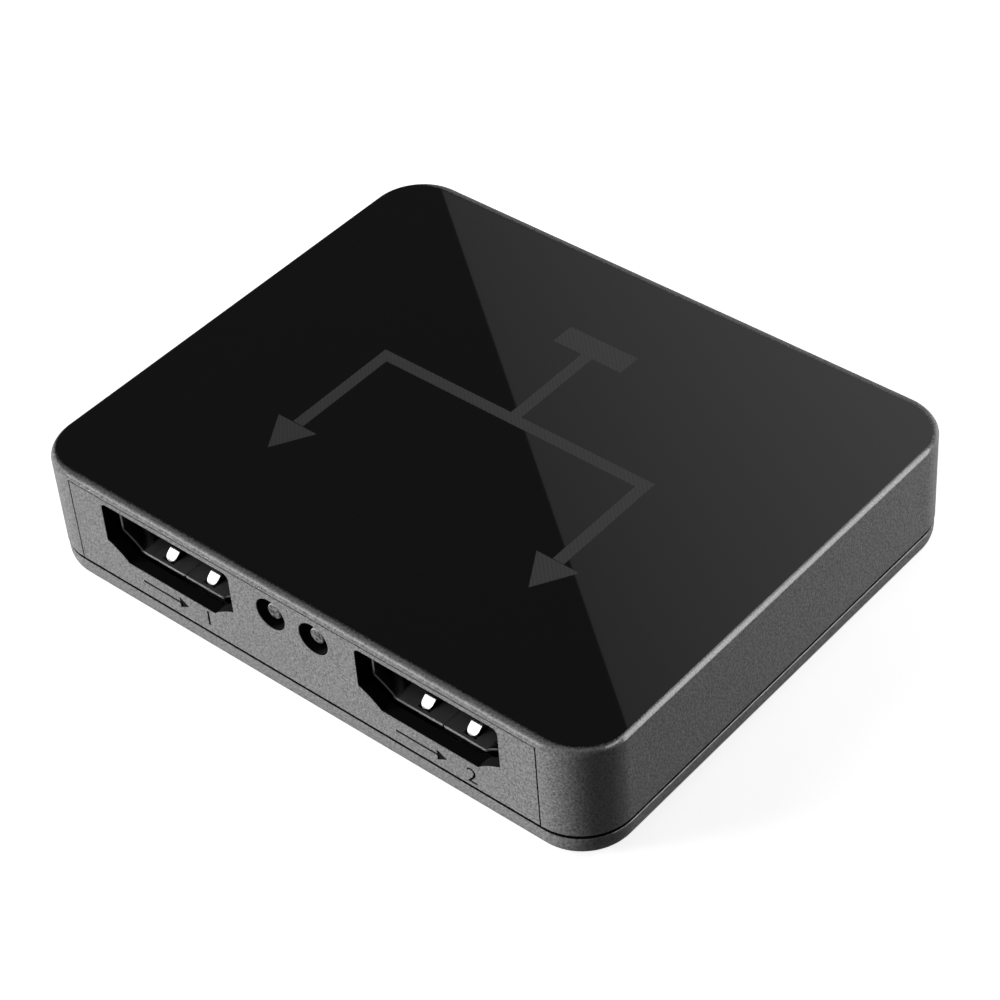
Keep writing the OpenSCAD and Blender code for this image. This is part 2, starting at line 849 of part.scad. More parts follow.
module crystal_can() {
    color(nickel)
        translate([crystal_x, 0, board_top + can_base_t])
            linear_extrude(can_h) {
                square([can_w, can_l - can_w], center = true);
                for (end = [-1, 1])
                    translate([0, end * (can_l - can_w) / 2])
                        circle(d = can_w);
            }
}

// Small chip part lying along Y: its middle, or its two solderable ends
module chip_part(x, y, l, w, h, ends) {
    translate([x - w / 2, y - l / 2, board_top])
        if (ends) {
            cube([w, end_t, h]);
            translate([0, l - end_t, 0]) cube([w, end_t, h]);
        } else {
            translate([0, end_t, 0]) cube([w, l - 2 * end_t, h]);
        }
}

module chip_row(y, ends) {
    for (i = [0 : row_count - 1])
        chip_part((i - (row_count - 1) / 2) * row_pitch, y, small_l, small_w, small_h, ends);
}

module bulk_capacitor() { color(bulk_orange) chip_part(bulk_x, 0, bulk_l, bulk_w, bulk_h, false); }
module ceramic_capacitors() { color(ceramic_tan) chip_row(-row_y, false); }
module chip_resistors() { color(chip_black) chip_row(row_y, false); }

module chip_part_ends() {
    color(tin) {
        chip_row(-row_y, true);
        chip_row(row_y, true);
        chip_part(bulk_x, 0, bulk_l, bulk_w, bulk_h, true);
    }
}

// Two surge arrays on the board behind each video socket's contacts
module surge_pair() {
    for (side = [-1, 1])
        translate([side * surge_pitch / 2 - surge_w / 2, surge_y - surge_d / 2, 0])
            cube([surge_w, surge_d, surge_h]);
}

module surge_arrays() {
    color(chip_black) {
        for (side = [-1, 1])
            at_front(side * output_x) surge_pair();
        at_rear(input_x) surge_pair();
    }
}

top_cover();
bottom_cover();
case_screws();
main_board();
video_out_1_shell();
video_out_1_insulator();
video_out_1_contacts();
video_out_2_shell();
video_out_2_insulator();
video_out_2_contacts();
video_in_shell();
video_in_insulator();
video_in_contacts();
power_socket_shell();
power_socket_insulator();
power_socket_contacts();
power_light();
power_light_wires();
link_light();
link_light_wires();
splitter_chip();
splitter_chip_leads();
control_chip();
control_chip_leads();
regulator_1();
regulator_1_leads();
regulator_2();
regulator_2_leads();
crystal_can();
crystal_base();
bulk_capacitor();
ceramic_capacitors();
chip_resistors();
chip_part_ends();
surge_arrays();
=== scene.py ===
# %% [markdown]
# # A flat video splitter, modelled over its CAD frame
# The CAD model gives this little box its sizes and the place of every piece inside. Here
# the pieces that show get the form a photographer would see: moulded edges, sheet-metal
# sockets, light lenses and screws. Everything is in metres, in the same frame as the CAD,
# with the two output sockets facing -Y.

# %% Load the frame
import math

import bpy
from mathutils import Matrix, Quaternion, Vector


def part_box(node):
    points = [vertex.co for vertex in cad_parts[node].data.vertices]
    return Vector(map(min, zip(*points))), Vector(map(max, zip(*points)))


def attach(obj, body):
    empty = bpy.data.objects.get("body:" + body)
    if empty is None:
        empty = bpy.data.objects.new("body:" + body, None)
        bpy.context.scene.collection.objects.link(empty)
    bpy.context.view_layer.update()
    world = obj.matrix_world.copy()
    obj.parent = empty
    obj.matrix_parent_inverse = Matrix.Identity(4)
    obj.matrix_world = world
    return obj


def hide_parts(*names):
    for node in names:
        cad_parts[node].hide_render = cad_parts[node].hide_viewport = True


MM = 0.001
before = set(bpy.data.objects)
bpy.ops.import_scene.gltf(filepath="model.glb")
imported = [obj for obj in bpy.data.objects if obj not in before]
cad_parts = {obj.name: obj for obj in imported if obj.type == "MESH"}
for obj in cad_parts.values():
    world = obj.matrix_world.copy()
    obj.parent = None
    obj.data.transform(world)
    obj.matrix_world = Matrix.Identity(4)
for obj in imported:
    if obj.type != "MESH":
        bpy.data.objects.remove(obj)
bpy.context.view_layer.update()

# %% [markdown]
# ## Camera
# The box was photographed from above its front right corner with a long lens. A camera
# can be aimed with a constraint or built from its three axes. The axes are used here,
# because they also let us tilt the camera a little about its own line of sight.

# %% Set the camera
FRAME_PX = 1000
FOCAL_PX = 2944.35
AZIMUTH, ELEVATION, TILT = (math.radians(a) for a in (43.339, 42.093, -4.762))
AIM = Vector((-0.432, 1.029, 4.299)) * MM
DISTANCE = 269.54 * MM

back = Vector((math.sin(AZIMUTH) * math.cos(ELEVATION),
               -math.cos(AZIMUTH) * math.cos(ELEVATION), math.sin(ELEVATION)))
level = Vector((math.cos(AZIMUTH), math.sin(AZIMUTH), 0))
upright = back.cross(level)
right = math.cos(TILT) * level + math.sin(TILT) * upright
up = back.cross(right)
eye = AIM + back * DISTANCE

camera = bpy.data.objects.new("camera", bpy.data.cameras.new("camera"))
bpy.context.scene.collection.objects.link(camera)
camera.matrix_world = Matrix.Translation(eye) @ Matrix((right, up, back)).transposed().to_4x4()
camera.data.sensor_width = 36
camera.data.lens = FOCAL_PX / FRAME_PX * camera.data.sensor_width
camera.data.clip_start = 1 * MM
bpy.context.scene.camera = camera
print("lens", round(camera.data.lens, 1), "mm at", [round(v, 3) for v in eye])

# %% [markdown]
# ## Modelling helpers
# Every piece starts as a primitive at its size and place. Positions are given in
# millimetres, as on a drawing. Applying the place at once keeps each object at the origin,
# as the CAD nodes are, so that patterns on its material stay where they belong.

# %% Helpers: blocks and rods
ROD_SIDES = 48


def select_only(*objects):
    bpy.ops.object.select_all(action="DESELECT")
    for obj in objects:
        obj.select_set(True)
    bpy.context.view_layer.objects.active = objects[0]


def settle(obj, name):
    """Name a fresh object and put its place into its mesh."""
    obj.name = obj.data.name = name
    select_only(obj)
    bpy.ops.object.transform_apply(location=True, rotation=True, scale=True)
    return obj


def add_block(name, low, high):
    """A cube between two corners."""
    low, high = Vector(low) * MM, Vector(high) * MM
    bpy.ops.object.select_all(action="DESELECT")
    bpy.ops.mesh.primitive_cube_add(size=1, location=(low + high) / 2, scale=high - low)
    return settle(bpy.context.object, name)


def add_rod(name, start, end, diameter):
    """A cylinder from one point to another along Y or Z."""
    start, end = Vector(start) * MM, Vector(end) * MM
    turn = (math.pi / 2, 0, 0) if abs(end.y - start.y) > abs(end.z - start.z) else (0, 0, 0)
    bpy.ops.object.select_all(action="DESELECT")
    bpy.ops.mesh.primitive_cylinder_add(vertices=ROD_SIDES, radius=diameter / 2 * MM,
                                        depth=(end - start).length,
                                        location=(start + end) / 2, rotation=turn)
    return settle(bpy.context.object, name)


# %% [markdown]
# In the viewport we click on edges. A script has no mouse, and the numbers of edges change
# with every operation, so points, edges and faces are picked by where they lie.

# %% Helpers: picking
def pick(obj, kind, test):
    """Open obj in edit mode with only the points, edges or faces selected that pass a test."""
    select_only(obj)
    bpy.ops.object.mode_set(mode="EDIT")
    bpy.ops.mesh.select_mode(type=kind)
    bpy.ops.mesh.select_all(action="DESELECT")
    bpy.ops.object.mode_set(mode="OBJECT")
    mesh = obj.data
    points = [v.co / MM for v in mesh.vertices]
    if kind == "VERT":
        for vertex in mesh.vertices:
            vertex.select = test(points[vertex.index])
    elif kind == "EDGE":
        for edge in mesh.edges:
            edge.select = test(*(points[i] for i in edge.vertices))
    else:
        for face in mesh.polygons:
            face.select = test(face.center / MM, face.normal)
    bpy.ops.object.mode_set(mode="EDIT")


def done():
    bpy.ops.object.mode_set(mode="OBJECT")


def everything(*_):
    return True


# %% [markdown]
# What was picked is then rounded with a bevel, or a face is inset and its middle is pulled
# or pushed. Most edges are named by two plain tests: where they lie and which way they run.

# %% Helpers: rounding and stepping in
NEAR = 1e-3


def round_edges(obj, test, radius, segments, profile=0.5):
    pick(obj, "EDGE", test)
    bpy.ops.mesh.bevel(offset=radius * MM, segments=segments, profile=profile,
                       affect="EDGES", clamp_overlap=False)
    done()


def step_in(thickness, move):
    """Inset the selected faces, then pull or push the inner ones."""
    bpy.ops.mesh.inset(thickness=thickness * MM)
    bpy.ops.mesh.extrude_region_move(
        TRANSFORM_OT_translate={"value": tuple(v * MM for v in move)})


def both(axis, value):
    """A test for edges that lie at one place along an axis."""
    return lambda a, b: abs(a[axis] - value) < NEAR and abs(b[axis] - value) < NEAR


def along(axis):
    """A test for straight edges that run along one axis."""
    others = [i for i in range(3) if i != axis]
    return lambda a, b: all(abs(a[i] - b[i]) < NEAR for i in others)


def all_of(*tests):
    return lambda a, b: all(test(a, b) for test in tests)


# %% [markdown]
# Holes are cut and ribs are fused with the Boolean modifier, which is applied at once. A
# cutter always reaches a little past the surface, because two faces in one plane confuse
# it. Repeats are copied, each with a mesh of its own.

# %% Helpers: cutting, fusing and copying
PAST = 1.0


def combine(obj, other, operation):
    modifier = obj.modifiers.new(operation, "BOOLEAN")
    modifier.operation = operation
    modifier.object = other
    modifier.solver = "EXACT"
    select_only(obj)
    bpy.ops.object.modifier_apply(modifier=modifier.name)
    bpy.data.objects.remove(other)


def cut(obj, *tools):
    for tool in tools:
        combine(obj, tool, "DIFFERENCE")


def fuse(obj, *others):
    for other in others:
        combine(obj, other, "UNION")


def copy_of(obj, name, shift=(0, 0, 0), turn=0.0):
    """A copy with its own mesh, turned about Z and then moved."""
    twin = obj.copy()
    twin.data = obj.data.copy()
    bpy.context.scene.collection.objects.link(twin)
    twin.location = Vector(shift) * MM
    twin.rotation_euler = (0, 0, turn)
    return settle(twin, name)


# %% [markdown]
# A finished piece is cleaned and shaded. Smooth shading alone would bend the light on flat
# walls, so edges above an angle stay sharp and Weighted Normal lets the big faces win.
# Then the piece rides on the part's one body and takes the place of its CAD nodes.

# %% Helpers: finishing
WELD = 1e-7


def clean(obj):
    """Merge points that coincide and face the mesh outwards."""
    pick(obj, "VERT", everything)
    bpy.ops.mesh.remove_doubles(threshold=WELD)
    bpy.ops.mesh.normals_make_consistent(inside=False)
    done()


def smooth(obj, angle=32):
    """Clean a piece, and shade flats flat and rounds round."""
    clean(obj)
    bpy.ops.object.shade_smooth_by_angle(angle=math.radians(angle))
    modifier = obj.modifiers.new("flats", "WEIGHTED_NORMAL")
    modifier.keep_sharp = True
    bpy.ops.object.modifier_apply(modifier=modifier.name)


def stand_for(piece, slot, *nodes):
    """Let a finished piece take the place of its CAD nodes."""
    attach(piece, "root")
    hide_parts(*nodes)
    print(piece.name, "has", len(piece.data.polygons), "faces, for", ", ".join(nodes))


def box_mm(node):
    """A CAD node's lowest and highest corner, in millimetres."""
    return [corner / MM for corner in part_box(node)]


# %% [markdown]
# ## Cover
# The upper part of the case is one plastic moulding: four walls with big round corners,
# a flat roof with a narrow bevel round it, and openings for the sockets. A subdivision
# cage could give the round corners, but bevels keep the flats truly flat, which matters
# on a glossy roof. So a block is bevelled, hollowed by inset and extrude, and then cut.

# %% Cover: rounded block, hollowed from below
WALL, ROOF = 1.3, 1.0
CORNER_R, CORNER_STEPS = 5.3, 24
TOP_EDGE, TOP_STEPS, TOP_PROFILE = 0.5, 8, 0.4
SOFT_EDGE = 0.06

cover_low, cover_high = box_mm("top_cover")
half_w, half_d = cover_high.x, cover_high.y
top_z, cover_z = cover_high.z, cover_low.z

cover = add_block("cover", cover_low, cover_high)
round_edges(cover, along(2), CORNER_R, CORNER_STEPS)
round_edges(cover, both(2, top_z), TOP_EDGE, TOP_STEPS, TOP_PROFILE)
round_edges(cover, both(2, cover_z), SOFT_EDGE, 2)
pick(cover, "FACE", lambda c, n: n.z < -0.99)
step_in(WALL - SOFT_EDGE, (0, 0, top_z - ROOF - cover_z))
done()
print("cover block has", len(cover.data.polygons), "faces")

# %% [markdown]
# The inside of the roof carries four round bosses that the case screws bite into. Each is
# a cylinder whose end is inset and pushed in for the screw hole, fused to the roof.

# %% Cover: screw bosses
BOSS_X, BOSS_Y = 27.0, 21.0
BOSS_D, PILOT_D, PILOT_DEPTH = 5.0, 2.0, 4.2
board_under, board_top = (corner.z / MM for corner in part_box("main_board"))
corners = [(x, y) for x in (-BOSS_X, BOSS_X) for y in (-BOSS_Y, BOSS_Y)]

for x, y in corners:
    boss = add_rod("boss", (x, y, board_top), (x, y, top_z - ROOF / 2), BOSS_D)
    pick(boss, "FACE", lambda c, n: n.z < -0.99)
    step_in((BOSS_D - PILOT_D) / 2, (0, 0, PILOT_DEPTH))
    done()
    fuse(cover, boss)
print("bosses at", corners)

# %% [markdown]
# A socket's outline is rounded above and has a slope at each lower corner that is wider
# than it is high and slightly hollow. A bevel is always as wide as it is high, so the
# block starts out stretched, gets its bevel, and is squeezed back to its real height.
# The same recipe makes the openings, the metal shells and the power inlet.

# %% Socket block
HOLLOW, SOCKET_STEPS = 0.2, 8


def socket_block(name, x, base, y0, y1, w, h, upper_r, slope_w, slope_h):
    """A solid with a socket's outline, from y0 to y1, standing on its lower edge."""
    stretch = slope_w / slope_h
    block = add_block(name, (x - w / 2, y0, base), (x + w / 2, y1, base + h * stretch))
    round_edges(block, all_of(along(1), both(2, base)), slope_w, SOCKET_STEPS, HOLLOW)
    pick(block, "VERT", everything)
    bpy.ops.transform.resize(value=(1, 1, 1 / stretch), center_override=(0, 0, base * MM))
    done()
    round_edges(block, all_of(along(1), both(2, base + h)), upper_r, SOCKET_STEPS)
    return block


# %% [markdown]
# The sockets stand behind the walls, and each wall is cut a little wider than the socket.
# A cutter with the socket's own outline follows its slopes, which a plain rectangle would
# not. Two round holes between the outputs let the indicator lights show.

# %% Cover: socket openings and light holes
SHELL_R, SLOPE_W, SLOPE_H = 0.8, 2.5, 1.55
POWER_R, POWER_SLOPE_W, POWER_SLOPE_H, POWER_FLARE = 0.4, 0.9, 0.8, 0.3
OPENING_GAP, OPENING_R = 0.3, 0.6
THROUGH = 3.0
LIGHT_HOLE_D = 3.3


def opening(node, y_face, slope_w, slope_h, drop=0):
    """A cutter round a socket's metal shell, through the wall at y_face."""
    low, high = box_mm(node)
    gap = OPENING_GAP
    base = board_top - gap - drop
    return socket_block("opening", (low.x + high.x) / 2, base, y_face - THROUGH / 2,
                        y_face + THROUGH / 2, high.x - low.x + 2 * gap, high.z - base + gap,
                        OPENING_R, slope_w, slope_h)


for node in ("video_out_1_shell", "video_out_2_shell"):
    cut(cover, opening(node, -half_d, SLOPE_W, SLOPE_H))
cut(cover, opening("video_in_shell", half_d, SLOPE_W, SLOPE_H),
    opening("power_socket_shell", half_d, POWER_SLOPE_W, POWER_SLOPE_H, POWER_FLARE))
light_boxes = [box_mm(node) for node in ("power_light", "link_light")]
for low, high in light_boxes:
    middle = (low + high) / 2
    cut(cover, add_rod("light_hole", (middle.x, -half_d - THROUGH / 2, middle.z),
                       (middle.x, -half_d + THROUGH / 2, middle.z), LIGHT_HOLE_D))
print("cover has", len(cover.data.polygons), "faces after its openings")

# %% [markdown]
# No moulding has knife edges, and the light that catches on a softened edge is what makes
# plastic look real. The rims of the openings are picked by their place on the front and
# rear faces and get a small bevel. The light holes are rounded a little more.

# %% Cover: softened rims
ROUND_RIM, SOCKET_RIM = 0.1, 0.04
CLEAR_SIDE, CLEAR_LOW, CLEAR_TOP = 1.0, 0.8, 0.7
lights_end = light_boxes[1][1].x + CLEAR_SIDE


def on_rim(a, b):
    """True for an edge of an opening in the front or rear face."""
    return all(abs(abs(p.y) - half_d) < NEAR and abs(p.x) < half_w - CORNER_R - CLEAR_SIDE
               and cover_z + CLEAR_LOW < p.z < top_z - CLEAR_TOP for p in (a, b))


round_edges(cover, lambda a, b: on_rim(a, b) and a.y < 0 and abs(a.x) < lights_end,
            ROUND_RIM, 3)
round_edges(cover, lambda a, b: on_rim(a, b) and abs(a.x) > lights_end, SOCKET_RIM, 2)
print("cover has", len(cover.data.polygons), "faces with softened rims")

# %% [markdown]
# Slides in the mould leave a fine parting line round the flat of the front and the rear
# wall. A line could be painted on, but a real groove also shows in the mesh. Three thin
# blocks per wall cut it, and the left one is shallower, so its line is fainter.

# %% Cover: parting lines
PARTING_W, PARTING_DEPTH, LEFT_DEPTH, PARTING_DROP = 0.15, 0.1, 0.055, 0.4
parting_x = half_w - CORNER_R - PARTING_W
parting_top = top_z - PARTING_DROP


def wall_block(side, x0, x1, z0, z1, depth):
    """A cutter that reaches a little way into the front (-1) or the rear (1) wall."""
    wall_y = side * half_d
    return add_block("groove", (x0, wall_y - depth, z0), (x1, wall_y + depth, z1))


for side in (-1, 1):
    for x, depth in ((-parting_x, LEFT_DEPTH), (parting_x, PARTING_DEPTH)):
        cut(cover, wall_block(side, x - PARTING_W / 2, x + PARTING_W / 2,
                              cover_z - PAST, parting_top, depth))
    cut(cover, wall_block(side, -parting_x, parting_x, parting_top - PARTING_W, parting_top,
                          PARTING_DEPTH))
print("parting lines at x", round(parting_x, 2), "and z", round(parting_top, 2))

# %% [markdown]
# Shallow marks tell the sockets apart. They could be a picture on the material, but sunk
# ones catch the light at their edges. A number is a text object made into a mesh; it then
# cuts like any block. An arrow is a bar fused to a cylinder with three sides.

# %% Helpers: numbers and arrows
MARK_DEPTH, MARK_LINE, NUMBER_H, DIGIT_SHARE = 0.12, 0.26, 1.75, 0.7
MARK_ARROW_L, MARK_HEAD = 5.0, 0.75


def mark_number(digit, x, z):
    """A digit that stands on the front wall, centred on x."""
    bpy.ops.object.select_all(action="DESELECT")
    bpy.ops.object.text_add()
    text = bpy.context.object
    text.data.body = digit
    text.data.align_x, text.data.align_y = "CENTER", "CENTER"
    text.data.size = NUMBER_H / DIGIT_SHARE * MM
    text.data.extrude = MARK_DEPTH * MM
    bpy.ops.object.convert(target="MESH")
    text.rotation_euler = (math.pi / 2, 0, 0)
    text.location = Vector((x, -half_d, z)) * MM
    settle(text, "number")
    clean(text)
    return text


def mark_arrow(x, z, side):
    """A bar and a triangle that points towards +X."""
    half = MARK_ARROW_L / 2
    bpy.ops.object.select_all(action="DESELECT")
    bpy.ops.mesh.primitive_cylinder_add(
        vertices=3, radius=MARK_HEAD * MM, depth=2 * MARK_DEPTH * MM,
        location=Vector((x + half, side * half_d, z)) * MM,
        rotation=(math.pi / 2, math.pi / 2, 0))
    tip = settle(bpy.context.object, "arrow")
    fuse(tip, wall_block(side, x - half, x + half - MARK_HEAD / 4,
                         z - MARK_LINE / 2, z + MARK_LINE / 2, MARK_DEPTH))
    return tip


# %% [markdown]
# Plain numbers and arrows go beside the outputs, an arrow beside the input, and the usual
# line over dashes beside the power inlet. Their places stand in small tables: x, how far
# above the row, and for an arrow the wall. The cover is then complete and gets its shading.

# %% Cover: sunk marks
MARK_Z = 4.75
NUMBERS = (("1", -10.8, 0.0), ("2", 19.75, -0.45))
ARROWS = ((-16.5, 0.0, -1), (13.8, -0.2, -1), (11.0, 0.0, 1))
SIGN_X, SIGN_W, SIGN_LINE = -13.5, 3.0, 0.25
LINE_LIFT, DASH_DROP, DASH_W, DASH_PITCH = 0.35, 0.3, 0.7, 1.15

for digit, x, lift in NUMBERS:
    cut(cover, mark_number(digit, x, MARK_Z + lift))
for x, lift, side in ARROWS:
    cut(cover, mark_arrow(x, MARK_Z + lift, side))
bars = [(SIGN_X, SIGN_W, MARK_Z + LINE_LIFT)]
bars += [(SIGN_X + i * DASH_PITCH, DASH_W, MARK_Z - DASH_DROP) for i in range(3)]
for x, width, z in bars:
    cut(cover, wall_block(1, x, x + width, z, z + SIGN_LINE, MARK_DEPTH))
smooth(cover, angle=25)
stand_for(cover, "cover_plastic", "top_cover")

# %% [markdown]
# ## Tray
# The lower part is a shallow tray with a generous round along its underside. Its rim ends
# a hair below the cover, which leaves the dark seam, and a lip inside the rim locates the
# cover. Inset and extrude, repeated, raise the lip and then sink the floor in one go.

# %% Tray: rounded block with lip and floor
RIM_Z, RIM_EDGE, FLOOR, UNDER_R = 2.72, 0.12, 1.5, 2.0
SET_BACK = 0.05
LIP_INSET, LIP_T, LIP_H = 1.45, 0.8, 1.05
TRAY_STEPS = ((LIP_INSET - SET_BACK - RIM_EDGE, LIP_H), (LIP_T, FLOOR - RIM_Z - LIP_H))

tray_w, tray_d = half_w - SET_BACK, half_d - SET_BACK
tray = add_block("tray", (-tray_w, -tray_d, 0), (tray_w, tray_d, RIM_Z))
round_edges(tray, along(2), CORNER_R - SET_BACK, CORNER_STEPS)
round_edges(tray, both(2, 0), UNDER_R, 12)
round_edges(tray, both(2, RIM_Z), RIM_EDGE, 4)
pick(tray, "FACE", lambda c, n: n.z > 0.99)
for thickness, rise in TRAY_STEPS:
    step_in(thickness, (0, 0, rise))
done()
print("tray block has", len(tray.data.polygons), "faces, with a floor of", FLOOR, "mm")

# %% [markdown]
# Four posts carry the board, right above the screws. Each screw head is sunk in a wide
# hole from below, and its shank passes through a narrow one. Posts are fused and holes are
# cut, because a lathe-like spin would be more work for so plain a shape.

# %% Tray: posts and sunk screw holes
POST_D, HEAD_HOLE_D, SHANK_HOLE_D = 5.2, 4.0, 2.3
HEAD_SINK, HEAD_H = 0.6, 1.3
SHANK_HOLE_Z = 1.0

for x, y in corners:
    fuse(tray, add_rod("post", (x, y, FLOOR / 2), (x, y, board_under), POST_D))
    cut(tray, add_rod("head_hole", (x, y, -PAST), (x, y, HEAD_SINK + HEAD_H), HEAD_HOLE_D),
        add_rod("shank_hole", (x, y, SHANK_HOLE_Z), (x, y, board_under + PAST), SHANK_HOLE_D))
    round_edges(tray, lambda a, b: both(2, 0)(a, b) and all(
        (p.x - x) ** 2 + (p.y - y) ** 2 < HEAD_HOLE_D ** 2 for p in (a, b)), ROUND_RIM, 2)
smooth(tray)
stand_for(tray, "tray_plastic", "bottom_cover")

# %% [markdown]
# ## Video sockets
# Each socket is a sheet of plated metal folded into a tube, with its fold seam near the
# middle of the floor. Small windows in floor and roof leave spring leaves that grip the
# plug. The tube is the socket block without its ends, given its thickness by Solidify.

# %% Video socket: folded tube
METAL = 0.3

out_low, out_high = box_mm("video_out_1_shell")
mouth_y, rear_y = out_low.y, out_high.y
shell_x = (out_low.x + out_high.x) / 2
shell_w, shell_h = out_high.x - out_low.x, out_high.z - board_top


def folded_tube(name, x, w, h, y0, y1, upper_r, slope_w, slope_h, metal):
    """A socket block without its two ends, with a wall of sheet metal."""
    tube = socket_block(name, x, board_top, y0, y1, w, h, upper_r, slope_w, slope_h)
    pick(tube, "FACE", lambda c, n: abs(n.y) > 0.99)
    bpy.ops.mesh.delete(type="FACE")
    done()
    wall = tube.modifiers.new("sheet", "SOLIDIFY")
    wall.thickness = metal * MM
    wall.offset = -1
    wall.use_even_offset = True
    bpy.ops.object.modifier_apply(modifier=wall.name)
    return tube


shell = folded_tube("video_out_1_tube", shell_x, shell_w, shell_h, mouth_y, rear_y,
                    SHELL_R, SLOPE_W, SLOPE_H, METAL)
print("tube is", round(shell_w, 2), "mm wide and", round(shell_h, 2), "mm high")

# %% [markdown]
# The windows and the fold seam go through the sheet, so they are cut with blocks. The
# leaves stand a little off the middle, as in the real socket. The sheared rim of the mouth
# gets a flat bevel, which catches a thin bright line of light.

# %% Video socket: windows, fold and mouth
LEAF_PITCH, LEAF_W, LEAF_GAP = 5.1, 1.15, 0.12
LEAF_TIP, LEAF_RAMP, LEAF_CREST, LEAF_TAIL = 0.55, 0.8, 0.4, 3.2
FOLD_W, OFF_MIDDLE, MOUTH_EDGE = 0.06, 0.3, 0.1

window_end = LEAF_TIP + LEAF_RAMP + LEAF_CREST + LEAF_TAIL
fold_x = shell_x + OFF_MIDDLE
leaf_xs = [fold_x - LEAF_PITCH / 2, fold_x + LEAF_PITCH / 2]
reach = LEAF_W / 2 + LEAF_GAP
for x in leaf_xs:
    cut(shell, add_block("window",
                         (x - reach, mouth_y + LEAF_TIP - LEAF_GAP, board_top - PAST),
                         (x + reach, mouth_y + window_end, board_top + shell_h + PAST)))
cut(shell, add_block("fold", (fold_x - FOLD_W / 2, mouth_y - PAST, board_top - PAST),
                     (fold_x + FOLD_W / 2, rear_y + PAST, board_top + PAST)))
round_edges(shell, both(1, mouth_y), MOUTH_EDGE, 1)
print("tube has", len(shell.data.polygons), "faces")

# %% [markdown]
# A spring leaf is a small tongue with a round tip, bent up from the sheet. It could be
# extruded from its side view, but then the round tip would be hard to get. So it starts as
# a flat strip with a bevelled tip, and bisect cuts it across into sections. They lie closer
# together where the leaf will turn.

# %% Video socket: flat leaf, cut into sections
LEAF_T, TIP_ROUND = 0.2, 0.5
RAMP_CUTS, CREST_CUTS, TAIL_CUTS = 3, 5, 8

crest_end = LEAF_RAMP + LEAF_CREST
tip_y = mouth_y + LEAF_TIP
leaf_l = crest_end + LEAF_TAIL + LEAF_GAP
floor_z = board_top + METAL
leaf = add_block("leaf", (leaf_xs[0] - LEAF_W / 2, tip_y, floor_z - LEAF_T),
                 (leaf_xs[0] + LEAF_W / 2, tip_y + leaf_l, floor_z))
round_edges(leaf, all_of(along(2), both(1, tip_y)), TIP_ROUND, 5)
section_starts = [LEAF_RAMP * i / RAMP_CUTS for i in range(1, RAMP_CUTS)]
section_starts += [LEAF_RAMP + LEAF_CREST * i / CREST_CUTS for i in range(CREST_CUTS)]
section_starts += [crest_end + LEAF_TAIL * i / TAIL_CUTS for i in range(TAIL_CUTS + 1)]
for distance in section_starts:
    pick(leaf, "VERT", everything)
    bpy.ops.mesh.bisect(plane_co=(0, (tip_y + distance) * MM, 0), plane_no=(0, 1, 0),
                        threshold=WELD)
    done()
print("leaf strip is", round(leaf_l, 2), "mm long, in", len(section_starts) + 1, "sections")

# %% [markdown]
# From the tip the leaf climbs a straight ramp, turns over a short crest and falls slowly
# back to the floor. Each section is lifted to its height on that curve. One leaf is enough:
# the others are copies, and a negative scale turns two of them over for the roof, after
# which their normals are put right.

# %% Video socket: leaves lifted and copied
LEAF_SLOPE = math.tan(math.radians(38))
leaf_rise = LEAF_SLOPE * (LEAF_RAMP + LEAF_CREST / 2)


def leaf_lift(distance):
    """Height of the leaf above the floor, at a distance behind its tip."""
    if distance < LEAF_RAMP:
        return LEAF_SLOPE * distance
    if distance < crest_end:
        return leaf_rise - LEAF_SLOPE * (crest_end - distance) ** 2 / (2 * LEAF_CREST)
    return leaf_rise * (1 + math.cos(math.pi * min(1, (distance - crest_end) / LEAF_TAIL))) / 2


for y in sorted({round(v.co.y / MM, 3) for v in leaf.data.vertices}):
    pick(leaf, "VERT", lambda p: abs(p.y - y) < NEAR)
    bpy.ops.transform.translate(value=(0, 0, leaf_lift(y - tip_y) * MM))
    done()

low_leaves = [leaf, copy_of(leaf, "leaf_2", (LEAF_PITCH, 0, 0))]
high_leaves = [copy_of(low_leaf, "leaf_up") for low_leaf in low_leaves]
for high_leaf in high_leaves:
    pick(high_leaf, "VERT", everything)
    bpy.ops.transform.resize(value=(1, 1, -1),
                             center_override=(0, 0, (board_top + shell_h / 2) * MM))
    bpy.ops.mesh.normals_make_consistent(inside=False)
    done()
print("leaves rise", round(leaf_rise, 2), "mm, with", len(leaf.data.polygons), "faces each")

# %% [markdown]
# Four legs hold the tube to the board. Each is a strip with a narrowed end. Everything is
# then fused into one shell, which is copied to the other output and, turned round, to the
# input on the rear wall.

# %% Video socket: legs, and the three shells
LEG_W, LEG_L, LEG_FRONT, LEG_PITCH = 1.2, 2.2, 3.2, 5.6
LEG_TAPER = 0.35


def add_leg(outer, inner, y, top):
    """A strip from a tube's side down through the board."""
    foot_z = board_top - LEG_L
    leg = add_block("leg", (min(outer, inner), y - LEG_W / 2, foot_z),
                    (max(outer, inner), y + LEG_W / 2, top))
    round_edges(leg, all_of(along(0), both(2, foot_z)), LEG_TAPER, 3)
    return leg


legs = []
for side in (-1, 1):
    outer = shell_x + side * shell_w / 2
    for distance in (LEG_FRONT, LEG_FRONT + LEG_PITCH):
        legs.append(add_leg(outer, outer - side * METAL, mouth_y + distance,
                            board_top + shell_h / 2))
fuse(shell, *low_leaves, *high_leaves, *legs)
smooth(shell)

in_low, in_high = box_mm("video_in_shell")
shells = {
    "video_out_1_shell": shell,
    "video_out_2_shell": copy_of(shell, "video_out_2_tube", (-2 * shell_x, 0, 0)),
    "video_in_shell": copy_of(shell, "video_in_tube",
                              ((in_low.x + in_high.x) / 2 + shell_x, 0, 0), math.pi)}
for node, piece in shells.items():
    stand_for(piece, "shell_nickel", node)

